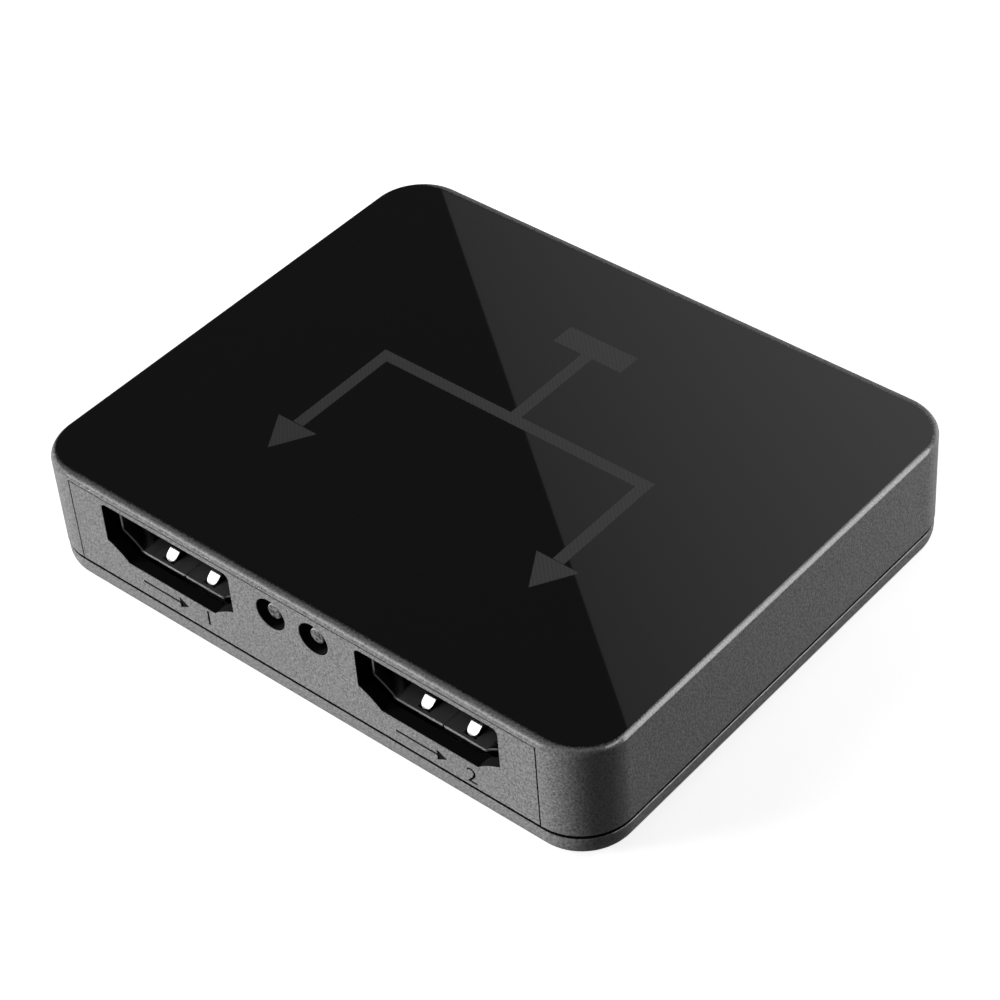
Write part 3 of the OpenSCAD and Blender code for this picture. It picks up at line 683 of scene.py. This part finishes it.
# %% [markdown]
# ## Power inlet
# The inlet on the rear wall is a smaller folded tube whose rim flares outwards, so that a
# plug finds its way in. The rim could be a second piece, but here the tube is bisected
# just behind its end and the end is scaled up, as a press would flare it.

# %% Power inlet: flared tube
POWER_METAL, POWER_RIM, POWER_LEG_Y = 0.25, 0.4, 2.4
INLET_EDGE = 0.05

power_low, power_high = box_mm("power_socket_shell")
power_x = (power_low.x + power_high.x) / 2
power_w = power_high.x - power_low.x - 2 * POWER_FLARE
power_h = power_high.z - board_top - POWER_FLARE
inlet = folded_tube("power_inlet_tube", power_x, power_w, power_h, power_low.y, power_high.y,
                    POWER_R, POWER_SLOPE_W, POWER_SLOPE_H, POWER_METAL)
pick(inlet, "VERT", everything)
bpy.ops.mesh.bisect(plane_co=(0, (power_high.y - POWER_RIM) * MM, 0), plane_no=(0, 1, 0),
                    threshold=WELD)
done()
pick(inlet, "VERT", lambda p: abs(p.y - power_high.y) < NEAR)
flare = ((power_w + 2 * POWER_FLARE) / power_w, 1, (power_h + 2 * POWER_FLARE) / power_h)
bpy.ops.transform.resize(value=flare, center_override=(
    power_x * MM, 0, (board_top + power_h / 2) * MM))
done()
round_edges(inlet, both(1, power_high.y), INLET_EDGE, 2)
for side in (-1, 1):
    outer = power_x + side * power_w / 2
    fuse(inlet, add_leg(outer, outer - side * POWER_METAL, power_high.y - POWER_LEG_Y,
                        board_top + power_h / 2))
smooth(inlet)
stand_for(inlet, "shell_nickel", "power_socket_shell")

# %% [markdown]
# ## Indicator lights
# Behind each round hole stands a small light: a lens with a softened edge on a wider
# collar. The collar is a cylinder, and the lens grows out of its front face by inset and
# extrude, so both are one piece of resin.

# %% Indicator lights
LENS_D, COLLAR_D, COLLAR_T = 1.55, 2.8, 1.1
LENS_EDGE, COLLAR_EDGE = 0.16, 0.1

first_low, first_high = light_boxes[0]
middle = (first_low + first_high) / 2
collar_y = first_high.y - COLLAR_T


def on_collar(p):
    return (p.x - middle.x) ** 2 + (p.z - middle.z) ** 2 > (COLLAR_D / 2 - COLLAR_EDGE) ** 2


light = add_rod("power_light_lens", (middle.x, collar_y, middle.z),
                (middle.x, first_high.y, middle.z), COLLAR_D)
pick(light, "FACE", lambda c, n: n.y < -0.99)
step_in((COLLAR_D - LENS_D) / 2, (0, first_low.y - collar_y, 0))
done()
round_edges(light, both(1, first_low.y), LENS_EDGE, 4)
round_edges(light, lambda a, b: both(1, collar_y)(a, b) and on_collar(a) and on_collar(b),
            COLLAR_EDGE, 2)
smooth(light)
second = copy_of(light, "link_light_lens", (light_boxes[1][0].x - first_low.x, 0, 0))
for piece, node in ((light, "power_light"), (second, "link_light")):
    stand_for(piece, "lens_resin", node)

# %% [markdown]
# ## Case screws
# Four screws hold the case from below. A screw is a domed head with a cross recess on a
# plain shank with a pointed end; one is modelled and copied, and the four are joined. The
# thread never shows, so it is left out.

# %% Case screws
HEAD_D, SHANK_D = 3.6, 1.9
HEAD_ROUND, SHANK_POINT = 0.45, 0.4
SLOT_L, SLOT_W, SLOT_DEPTH = 2.2, 0.5, 0.7

screw_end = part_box("case_screws")[1].z / MM
x, y = corners[0]
screw = add_rod("case_screw_set", (x, y, HEAD_SINK), (x, y, HEAD_SINK + HEAD_H), HEAD_D)
round_edges(screw, both(2, HEAD_SINK), HEAD_ROUND, 5)
pick(screw, "FACE", lambda c, n: n.z > 0.99)
step_in((HEAD_D - SHANK_D) / 2, (0, 0, screw_end - HEAD_SINK - HEAD_H))
done()
round_edges(screw, both(2, screw_end), SHANK_POINT, 1)
for long_x, long_y in ((SLOT_L, SLOT_W), (SLOT_W, SLOT_L)):
    cut(screw, add_block("slot", (x - long_x / 2, y - long_y / 2, 0),
                         (x + long_x / 2, y + long_y / 2, HEAD_SINK + SLOT_DEPTH)))
smooth(screw)
others = [copy_of(screw, "screw", (px - x, py - y, 0)) for px, py in corners[1:]]
select_only(screw, *others)
bpy.ops.object.join()
stand_for(screw, "screw_steel", "case_screws")

# %% [markdown]
# ## Finishes
# A finish is a node tree. Its arithmetic reads best as plain expressions, so one small
# class wraps a socket: adding or multiplying such values adds Math nodes, and its one
# method makes any other node from a type, its settings and its sockets.

# %% Shader values
class Value:
    """A socket of a material's node tree, or the tree alone."""

    def __init__(self, tree, socket=None):
        self.tree, self.socket = tree, socket

    def node(self, kind, settings=None, sockets=None, out=0):
        """Add a node: first its settings, then the values or links of its sockets."""
        made = self.tree.nodes.new("ShaderNode" + kind)
        for name, setting in (settings or {}).items():
            setattr(made, name, setting)
        for name, given in (sockets or {}).items():
            if isinstance(given, Value):
                self.tree.links.new(given.socket, made.inputs[name])
            else:
                made.inputs[name].default_value = given
        return Value(self.tree, made.outputs[out])

    def math(self, operation, *others, clamp=False):
        sockets = dict(enumerate((self, *others)))
        return self.node("Math", {"operation": operation, "use_clamp": clamp}, sockets)

    def __add__(self, other):
        return self.math("ADD", other)

    def __sub__(self, other):
        return self.math("SUBTRACT", other)

    def __rsub__(self, other):
        return self.math("MULTIPLY", -1.0) + other

    def __mul__(self, other):
        return self.math("MULTIPLY", other)

    def __truediv__(self, other):
        return self.math("DIVIDE", other)

    def __gt__(self, other):
        return self.math("GREATER_THAN", other)

    __radd__, __rmul__ = __add__, __mul__

    def ramp(self, low, high):
        """0 below low, 1 above high, and straight between."""
        return ((self - low) / (high - low)).math("MULTIPLY", 1.0, clamp=True)


# %% [markdown]
# Colours go through a Mix node, because a Math node would turn them grey. Noise gives every
# surface its small changes, and a Bump node turns such a noise into fine relief.

# %% Helpers: colours, noise and bumps
def mix(share, first, second):
    """Colour that goes from first to second as share goes from 0 to 1."""
    rgba = [(*c, 1) if isinstance(c, tuple) else c for c in (first, second)]
    return share.node("Mix", {"data_type": "RGBA"}, {0: share, 6: rgba[0], 7: rgba[1]}, 2)


def grey(level):
    return (level, level, level)


def axes(place):
    return [place.node("SeparateXYZ", {}, {0: place}, axis) for axis in "XYZ"]


def noise(place, size, detail=2.0, rough=0.5):
    """Soft noise from 0 to 1, with lumps of about this size in millimetres."""
    return place.node("TexNoise", {}, {"Vector": place, "Scale": 1 / size, "Detail": detail,
                                       "Roughness": rough})


def bump(height, depth_mm):
    return height.node("Bump", {}, {"Height": height, "Distance": depth_mm * MM,
                                    "Strength": 1.0})


# %% [markdown]
# What is the same all over a surface is set on the shader itself; only what changes is
# linked. Every pattern reads Object coordinates in millimetres, so it sits still on its
# piece and can use the same sizes as the mesh.

# %% Helpers: materials
def new_finish(name, **constants):
    """A material with its constants set on the shader's own sockets."""
    material = bpy.data.materials.new(name)
    material.use_nodes = True
    shader = material.node_tree.nodes["Principled BSDF"]
    for socket, number in constants.items():
        shader.inputs[socket.replace("_", " ")].default_value = number
    tree = Value(material.node_tree)
    spot = tree.node("TexCoord", out="Object")
    place = spot.node("VectorMath", {"operation": "SCALE"}, {0: spot, "Scale": 1 / MM})
    return material, shader, place


def feed(shader, **links):
    """Link what changes over the surface to the shader."""
    for socket, given in links.items():
        given.tree.links.new(given.socket, shader.inputs[socket.replace("_", " ")])


def paint(material, *names):
    for name in names:
        obj = bpy.data.objects[name]
        obj.data.materials.clear()
        obj.data.materials.append(material)
    print(material.name, "on", ", ".join(names))


# %% [markdown]
# ## Case plastic
# Cover and tray are the same dark plastic. The mould was eroded to a fine grain on the
# walls and polished on the roof. The grained walls get a grey colour, painted sheen that
# stands for the light their grain scatters; the polished roof keeps the plastic's black and
# mirrors the dark room. The two meet in a narrow speckled border along the roof's edge.
# How far a point lies inside the outline of the box decides what it gets, so that distance
# is worked out first, round corners included.

# %% Distance inside the outline
def inside_outline(x, y):
    """Millimetres from the outer walls inwards, with the round corners followed."""
    over_x = x.math("ABSOLUTE") - (half_w - CORNER_R)
    over_y = y.math("ABSOLUTE") - (half_d - CORNER_R)
    past_x, past_y = (over.math("MAXIMUM", 0.0) for over in (over_x, over_y))
    corner = (past_x * past_x + past_y * past_y).math("SQRT")
    return CORNER_R - (corner + over_x.math("MAXIMUM", over_y).math("MINIMUM", 0.0))


# %% [markdown]
# The roof carries a plain mark in a slightly rougher grey: a line that comes from the
# input and branches to an arrow above each output. Ink or etching this thin has no height,
# so it belongs in the material. Each shape is a product of two soft-edged masks.

# %% Roof mark
ETCH_LINE, ETCH_SOFT = 1.3, 0.06
BRANCH_X, BRANCH_Y, STEM_END = 15.2, 3.0, 15.0
ROOF_TIP_Y, ROOF_HEAD_L, ROOF_HEAD_SLOPE = -13.0, 4.0, 0.6
END_BAR = (8, 2.6)


def etched_bar(x, y, middle, size):
    """1 inside a rectangle on the roof and 0 outside."""
    reach_x, reach_y = (half - (at - centre).math("ABSOLUTE") for at, centre, half in (
        (x, middle[0], size[0] / 2), (y, middle[1], size[1] / 2)))
    return reach_x.ramp(0, ETCH_SOFT) * reach_y.ramp(0, ETCH_SOFT)


def etched_branch(x, y):
    """A line from the rear that branches to two arrows above the outputs."""
    arm = x.math("ABSOLUTE")
    head_y = ROOF_TIP_Y + ROOF_HEAD_L
    head = ROOF_HEAD_SLOPE * (y - ROOF_TIP_Y) - (arm - BRANCH_X).math("ABSOLUTE")
    shapes = [
        etched_bar(x, y, (0, STEM_END), END_BAR),
        etched_bar(x, y, (0, (STEM_END + BRANCH_Y) / 2), (ETCH_LINE, STEM_END - BRANCH_Y)),
        etched_bar(x, y, (0, BRANCH_Y), (2 * BRANCH_X + ETCH_LINE, ETCH_LINE)),
        etched_bar(arm, y, (BRANCH_X, (BRANCH_Y + head_y) / 2), (ETCH_LINE, BRANCH_Y - head_y)),
        head.ramp(0, ETCH_SOFT) * (head_y - y).ramp(0, ETCH_SOFT)]
    whole = shapes[0]
    for shape in shapes[1:]:
        whole = whole.math("MAXIMUM", shape)
    return whole


# %% [markdown]
# The grain is a noise that shifts the painted sheen grey a little and also raises small
# bumps. Grooves, the seam and the insides of the openings see hardly any light, so they get
# painted shade: a second, dull black shader without reflection is mixed in there.

# %% Grain, painted sheen and painted shade
# The grain's grey is painted sheen on a plastic that is itself nearly black.
GRAIN_SHEEN_GREY, GLOSS_GREY = 0.175, 0.0095
GRAIN_SIZE, GRAIN_DEPTH, SPARKLE = 0.21, 0.03, 0.5


def grain_and_sheen(place):
    """Spark-eroded plastic: painted sheen in a grey that varies at random, and its grain's
    height.
    """
    grain = noise(place, GRAIN_SIZE, 2.0, 0.6)
    dark, light = (grey(GRAIN_SHEEN_GREY * (1 + side * SPARKLE)) for side in (-1, 1))
    return mix(grain.ramp(0.3, 0.7), dark, light), grain


def paint_shade_black(shader, share):
    """Mix painted shade, a dull black without reflection, into the finish where share is 1."""
    painted_shade = share.node("BsdfPrincipled", {}, {"Base Color": (*grey(GLOSS_GREY), 1),
                                             "Roughness": 0.6, "Specular IOR Level": 0.0})
    result = share.node("MixShader", {}, {0: share, 1: Value(share.tree, shader.outputs[0]),
                                          2: painted_shade})
    share.tree.links.new(result.socket, share.tree.nodes["Material Output"].inputs["Surface"])


# %% [markdown]
# On the cover, the polish reaches almost to the edge at the two sides and ends further in
# at front and rear. Along the bevel round the roof the grain is finer and half glossy,
# which a coat gives: it draws the bright line on the right. Each zone is a mask from 0 to
# 1, and colour, roughness, coat and bumps are all worked out from the same few masks.

# %% Cover finish
PLASTIC_IOR, COAT_ROUGH = 1.5, 0.12
GRAIN_ROUGH, EDGE_ROUGH, ROOF_ROUGH = 0.58, 0.35, 0.015
ETCH_GREY, ETCH_ROUGH, HATCH_PITCH, HATCH_SHARE = 0.06, 0.4, 0.5, 0.2
SIDE_SQUEEZE, SIDE_SHIFT, END_STRETCH = 0.9892, 0.15, 1.013
SPECKLE, SPECKLE_SIZE, POLISH = 0.4, 0.18, (0.3, 0.65)
UPPER, GLOSS_START, GLOSS_END = (0.7, 0.6), (0.45, 0.41), (0.11, 0.06)
SHADE_INWARD = (0.04, 0.08)


def near_top(z, start, end):
    """0 below start and 1 above end, both counted down from the roof."""
    return z.ramp(top_z - start, top_z - end)


cover_plastic, shader, place = new_finish("cover_plastic", IOR=PLASTIC_IOR,
                                          Coat_Roughness=COAT_ROUGH)
x, y, z = axes(place)
wall_sheen_grey, grain = grain_and_sheen(place)
upper = near_top(z, *UPPER)
border = inside_outline(x * SIDE_SQUEEZE + SIDE_SHIFT, y * END_STRETCH)
border = border + SPECKLE * (noise(place, SPECKLE_SIZE, 1.0) - 0.5)
roof_polish = upper * border.ramp(*POLISH)
edge_gloss = near_top(z, *GLOSS_START) * (1 - near_top(z, *GLOSS_END))
etch = etched_branch(x, y) * upper
hatch = ((x + y) * (2 * math.pi / HATCH_PITCH)).math("SINE") * HATCH_SHARE + (1 - HATCH_SHARE)
roof_grey = mix(etch * hatch, grey(GLOSS_GREY), grey(ETCH_GREY))
feed(shader, Base_Color=mix(roof_polish, wall_sheen_grey, roof_grey),
     Roughness=(GRAIN_ROUGH - (GRAIN_ROUGH - EDGE_ROUGH) * edge_gloss * (1 - roof_polish)
                - (GRAIN_ROUGH - ROOF_ROUGH) * roof_polish + (ETCH_ROUGH - ROOF_ROUGH) * etch),
     Coat_Weight=edge_gloss, Normal=bump(grain * (1 - roof_polish), GRAIN_DEPTH))
# Painted shade in dull black deep in the grooves, sunk marks, openings, light holes and the
# cover's hollow; the shallow left parting grooves get only part of it.
paint_shade_black(shader, (1 - upper) * inside_outline(x, y).ramp(*SHADE_INWARD))
paint(cover_plastic, "cover")

# %% [markdown]
# The tray is grained all over, in the same painted sheen grey. Only the round of its rim has
# the same gloss as the cover's bevel, and the top of the rim, inside the dark seam, gets
# painted shade in dull black. Both zones follow from the sizes of the rim, so they move with
# it.

# %% Tray finish
GLOSS_SHARE = 0.8
SEAM_SHADE_IN, SEAM_SHADE_DOWN = (0.06, 0.08), (0.05, 0.02)

tray_plastic, shader, place = new_finish("tray_plastic", IOR=PLASTIC_IOR,
                                         Roughness=GRAIN_ROUGH, Coat_Roughness=COAT_ROUGH)
x, y, z = axes(place)
wall_sheen_grey, grain = grain_and_sheen(place)
feed(shader, Base_Color=wall_sheen_grey, Normal=bump(grain, GRAIN_DEPTH),
     Coat_Weight=z.ramp(RIM_Z - RIM_EDGE, RIM_Z - GLOSS_SHARE * RIM_EDGE))
# Painted shade in dull black on the top of the rim, inside the seam.
paint_shade_black(shader, inside_outline(x, y).ramp(*(SET_BACK + reach for reach in SEAM_SHADE_IN))
        * z.ramp(*(RIM_Z - drop for drop in SEAM_SHADE_DOWN)))
paint(tray_plastic, "tray")

# %% [markdown]
# ## Metals
# The socket shells are nickel-plated sheet with faint rolling marks along their length,
# duller at the sheared mouth and on the worn floor below the leaves. Screws are steel,
# wires and leads are tinned, and contacts have a flash of gold. All share one recipe: a
# stretched noise moves the shade and the roughness together, as rolling and wear do.

# %% Nickel, steel, tin and gold
ROLLED_DARK, ROLLED_DEPTH = 0.85, 0.004
SHEAR_DULL, FLOOR_DULL = 0.06, 0.3
SHEAR_BAND, FLOOR_BAND = (0.1, 0.05), (0.05, 0.12)


def metal_finish(name, colour, rough, spread, size=0.4, stretch=(1, 8, 1), dulled=None):
    """A plated metal whose gloss wanders along rolling marks, and is dulled in places."""
    material, shader, place = new_finish(name, Metallic=1.0)
    marks = place.node("VectorMath", {"operation": "DIVIDE"}, {0: place, 1: stretch})
    wander = noise(marks, size, 3.0)
    dark = tuple(c * ROLLED_DARK for c in colour)
    roughness = wander * spread + rough
    if dulled:
        roughness = roughness + dulled(place)
    feed(shader, Base_Color=mix(wander, dark, colour), Roughness=roughness,
         Normal=bump(wander, ROLLED_DEPTH))
    return material


def shell_wear(place):
    """A socket shell is dull at its sheared mouth and on its floor, below the leaves."""
    x, y, z = axes(place)
    sheared = y.math("ABSOLUTE").ramp(*(abs(mouth_y) - reach for reach in SHEAR_BAND))
    floor = 1 - z.ramp(*(floor_z + rise for rise in FLOOR_BAND))
    return SHEAR_DULL * sheared + FLOOR_DULL * floor


nickel = metal_finish("shell_nickel", (0.62, 0.62, 0.62), 0.12, 0.12, dulled=shell_wear)
steel = metal_finish("screw_steel", (0.45, 0.45, 0.46), 0.25, 0.2, 0.3, (1, 1, 1))
tin = metal_finish("lead_tin", (0.6, 0.6, 0.6), 0.3, 0.2, 0.2, (1, 1, 1))
gold = metal_finish("contact_gold", (0.72, 0.52, 0.2), 0.2, 0.15, 0.2)
can = metal_finish("can_steel", (0.68, 0.68, 0.69), 0.15, 0.15, 0.8, (1, 6, 1))
paint(nickel, *(piece.name for piece in shells.values()), "power_inlet_tube")
paint(steel, "case_screw_set")
paint(tin, *(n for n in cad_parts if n.endswith(("_leads", "_wires", "_ends"))))
paint(gold, *(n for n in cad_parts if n.endswith("_contacts")))
paint(can, "crystal_can")

# %% [markdown]
# ## Lens resin
# An unlit light shows the dark chip and bits of bright metal through its resin. Real
# refraction would need those parts inside, so the front of the lens is speckled dark and
# light instead, and its softened edge gets a painted highlight in pale grey.

# %% Lens resin
FLAKE_SIZE, FLAKE_DARK, FLAKE_LIGHT, FLAKE_DEPTH = 0.3, 0.02, 0.2, 0.004
LENS_ROUGH, LENS_HIGHLIGHT_GREY, LENS_HIGHLIGHT_BAND = 0.2, 0.35, (0.02, 0.06)

lens, shader, place = new_finish("lens_resin")
flakes = noise(place, FLAKE_SIZE, 3.0, 0.7)
inner = mix(flakes.ramp(0.4, 0.62), grey(FLAKE_DARK), grey(FLAKE_LIGHT))
# Painted highlight: the softened edge of the lens is pale.
lens_rim_highlight = axes(place)[1].ramp(*(first_low.y + behind for behind in LENS_HIGHLIGHT_BAND))
feed(shader, Base_Color=mix(lens_rim_highlight, inner, grey(LENS_HIGHLIGHT_GREY)),
     Roughness=LENS_ROUGH * (1 + flakes), Normal=bump(flakes, FLAKE_DEPTH))
paint(lens, "power_light_lens", "link_light_lens")

# %% [markdown]
# ## Mouldings and small parts
# Socket blocks, chips and capacitors are moulded or fired, with a slight mottle and a fine
# skin. They hardly show, through the socket mouths only, so one recipe with a colour and a
# roughness serves them all.

# %% Mouldings and small parts
MOTTLE_SIZE, MOTTLE_DARK, MOTTLE_ROUGH, SKIN_DEPTH = 0.25, 0.8, 0.2, 0.01


def moulded_finish(name, colour, rough):
    """A moulded part: slight mottling, fine surface grain."""
    material, shader, place = new_finish(name)
    mottle = noise(place, MOTTLE_SIZE, 3.0)
    dark = tuple(c * MOTTLE_DARK for c in colour)
    feed(shader, Base_Color=mix(mottle, dark, colour),
         Roughness=mottle * MOTTLE_ROUGH + rough, Normal=bump(mottle, SKIN_DEPTH))
    return material


moulding = moulded_finish("socket_moulding", (0.015, 0.015, 0.015), 0.4)
epoxy = moulded_finish("chip_epoxy", (0.025, 0.025, 0.027), 0.5)
ceramic = moulded_finish("capacitor_ceramic", (0.42, 0.3, 0.17), 0.4)
bulk = moulded_finish("bulk_resin", (0.55, 0.28, 0.06), 0.4)
paint(moulding, *(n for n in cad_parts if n.endswith("_insulator")))
paint(epoxy, "splitter_chip", "control_chip", "regulator_1", "regulator_2", "crystal_base",
      "chip_resistors", "surge_arrays")
paint(ceramic, "ceramic_capacitors")
paint(bulk, "bulk_capacitor")

# %% [markdown]
# ## Board
# The board is glass-fibre laminate under green lacquer. Copper tracks show through as
# slightly lighter lines: a sine wave bent by a slow noise, kept in patches. Under each
# socket the board gets a field of painted shade in near black, so that no light colour
# shines out of the sockets' windows.

# %% Board finish
SOCKET_NODES = [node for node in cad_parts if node.endswith("_shell")]
TRACK_PITCH, TRACK_BEND, BEND_SIZE, PATCH_SIZE = 0.8, 14, 9.0, 5.0
SHADE_MARGIN, SHADE_GREY, COPPER_DEPTH = 0.6, 0.008, 0.03
LACQUER, LACQUER_ON_COPPER = (0.014, 0.09, 0.045), (0.03, 0.16, 0.08)

board, shader, place = new_finish("board_laminate", Roughness=0.3)
x, y, z = axes(place)
bend = noise(place, BEND_SIZE, 0.0)
track = ((x + y + TRACK_BEND * bend) / TRACK_PITCH).math("SINE").ramp(0.1, 0.4)
copper = track * noise(place, PATCH_SIZE, 1.0).ramp(0.48, 0.52)
# Painted shade under each socket, a little wider than its shell.
socket_shade = 0.0
for node in SOCKET_NODES:
    low, high = box_mm(node)
    centre, half = (low + high) / 2, (high - low) / 2
    inside_x = half.x + SHADE_MARGIN - (x - centre.x).math("ABSOLUTE") > 0.0
    inside_y = half.y + SHADE_MARGIN - (y - centre.y).math("ABSOLUTE") > 0.0
    socket_shade = inside_x * inside_y + socket_shade
lacquer = mix(copper, LACQUER, LACQUER_ON_COPPER)
feed(shader, Base_Color=mix(socket_shade.math("MINIMUM", 1.0), lacquer, grey(SHADE_GREY)),
     Normal=bump(copper, COPPER_DEPTH))
paint(board, "main_board")

# %% [markdown]
# ## Floor
# The box lies on a white table. To the camera the table glows almost white by itself, so
# the lamps can stay at a plain level and the box still leaves its soft shadow. Mirrors see
# a little of that glow. The table lies a hair below the tray, because two faces in one
# plane would flicker.

# %% Floor
TABLE_SIZE, TABLE_Z = 4, -0.02
TABLE_DIM, TABLE_WHITE, TABLE_GLOW, MIRRORED_SHARE = 0.15, 0.93, 0.74, 0.12

bpy.ops.object.select_all(action="DESELECT")
bpy.ops.mesh.primitive_plane_add(size=TABLE_SIZE, location=(0, 0, TABLE_Z * MM))
table = settle(bpy.context.object, "table")
table_white, shader, place = new_finish("table_white", Roughness=0.9, Specular_IOR_Level=0.1,
                                        Emission_Strength=1.0)
rays = [place.node("LightPath", out=f"Is {kind} Ray") for kind in ("Camera", "Glossy")]
shown = rays[0] + MIRRORED_SHARE * rays[1]
feed(shader, Base_Color=mix(shown, grey(TABLE_DIM), grey(TABLE_WHITE)),
     Emission_Color=mix(shown, grey(0.0), grey(TABLE_GLOW)))
paint(table_white, "table")

# %% [markdown]
# ## Lamps
# A wide, low softbox at the front left lights the front wall. A small one behind lights
# the right wall at a flat angle and leaves the front corner between them dark. Both stay
# out of reflections. Three strips do the opposite: they light no matt surface and show in
# gloss only, above all in the bevel on the right, as a line that turns with the corner.
# One more soft lamp gives the sockets' leaves and rims their glint.

# %% Lamps
# A row holds azimuth and elevation, watts, width, height, distance, and a strip's tilt.
WALL_LAMPS = (("left_key", -47, 5, 29, 0.6, 0.2, 1.2),
              ("rear", 157, 5, 0.7, 0.1, 0.05, 0.22))
STRIPS = (("edge_strip", 128, 26, 2.6, 0.25, 0.7, 0.62, -23),
          ("edge_top", 163, 54, 0.7, 0.3, 0.2, 0.62, 0),
          ("edge_turn", 103, 46, 0.9, 0.22, 0.36, 0.62, -30))
GLINT = ("socket_glint", -43, 41, 0.85, 0.3, 0.3, 0.7)


def softbox(name, azimuth, elevation, watts, width, height, far, tilt=0, mirrored=True):
    """A soft rectangular lamp that faces the box from a direction in degrees."""
    a, e = math.radians(azimuth), math.radians(elevation)
    toward = Vector((math.sin(a) * math.cos(e), -math.cos(a) * math.cos(e), math.sin(e)))
    lamp = bpy.data.objects.new(name, bpy.data.lights.new(name, "AREA"))
    bpy.context.scene.collection.objects.link(lamp)
    lamp.data.shape = "RECTANGLE"
    lamp.data.size, lamp.data.size_y, lamp.data.energy = width, height, watts
    lamp.location = toward * far
    roll = Quaternion((0, 0, 1), math.radians(tilt))
    lamp.rotation_euler = (toward.to_track_quat("Z", "Y") @ roll).to_euler()
    lamp.visible_camera = False
    lamp.visible_glossy = mirrored
    print(name, "gives", round(watts, 2), "W")
    return lamp


for row in WALL_LAMPS:
    softbox(*row, mirrored=False)
for row in STRIPS:
    softbox(*row).visible_diffuse = False
softbox(*GLINT)

# %% [markdown]
# The roof is a dark mirror. Its right half shows a grey panel that stands behind the box,
# and the panel's edge runs across the roof as a slanting line. The panel could be pushed
# about until the line fits. It is quicker to mirror the eye in the roof, and to see where
# two points of that line fall on the panel's plane.

# %% Panel mirrored in the roof
ROOF_FROM, ROOF_TO = (Vector((x, y, top_z)) * MM for x, y in ((-26.5, 24.4), (31.2, -20.1)))
PANEL_FAR, PANEL_LONG, PANEL_WIDE = 0.7, 1.2, 0.2
PANEL_GLOW, PANEL_RISE = 0.3, 2.4

mirror_eye = Vector((eye.x, eye.y, 2 * top_z * MM - eye.z))
outward = Vector((-back.x, -back.y, back.z))
centre = Vector((0, 0, top_z * MM)) + outward * PANEL_FAR


def seen_in_roof(point):
    """Where the panel's plane shows in a point of the roof."""
    ray = point - mirror_eye
    return mirror_eye + ray * ((centre - mirror_eye).dot(outward) / ray.dot(outward))


start, end = seen_in_roof(ROOF_FROM), seen_in_roof(ROOF_TO)
edge = (end - start).normalized()
across = outward.cross(edge)
panel = softbox("panel", 0, 0, PANEL_GLOW * math.pi * PANEL_LONG * PANEL_WIDE,
                PANEL_LONG, PANEL_WIDE, PANEL_FAR)
turn = Matrix((edge, across, edge.cross(across))).transposed().to_4x4()
panel.matrix_world = Matrix.Translation((start + end) / 2 + across * PANEL_WIDE / 2) @ turn

panel.data.use_nodes = True
glow = Value(panel.data.node_tree)
spot = glow.node("NewGeometry", out="Parametric")
share = spot.node("SeparateXYZ", {}, {0: spot}, "Y")
glow.tree.links.new((1 + PANEL_RISE * share).socket,
                    glow.tree.nodes["Emission"].inputs["Strength"])
print("panel edge from", [round(v, 3) for v in start], "to", [round(v, 3) for v in end])

# %% [markdown]
# ## Room
# The room itself is nearly dark, so that the roof stays black. Only the camera sees it
# white, which gives the plain background. Colours are shown as they are, without a film
# look.

# %% Room
ROOM_GLOW = 0.05

world = bpy.context.scene.world or bpy.data.worlds.new("room")
bpy.context.scene.world = world
world.use_nodes = True
background = world.node_tree.nodes["Background"]
background.inputs["Color"].default_value = (1, 1, 1, 1)
sees = Value(world.node_tree).node("LightPath", out="Is Camera Ray")
world.node_tree.links.new((ROOM_GLOW + (1 - ROOM_GLOW) * sees).socket,
                          background.inputs["Strength"])
bpy.context.scene.view_settings.view_transform = "Standard"
print("room glows at", ROOM_GLOW)
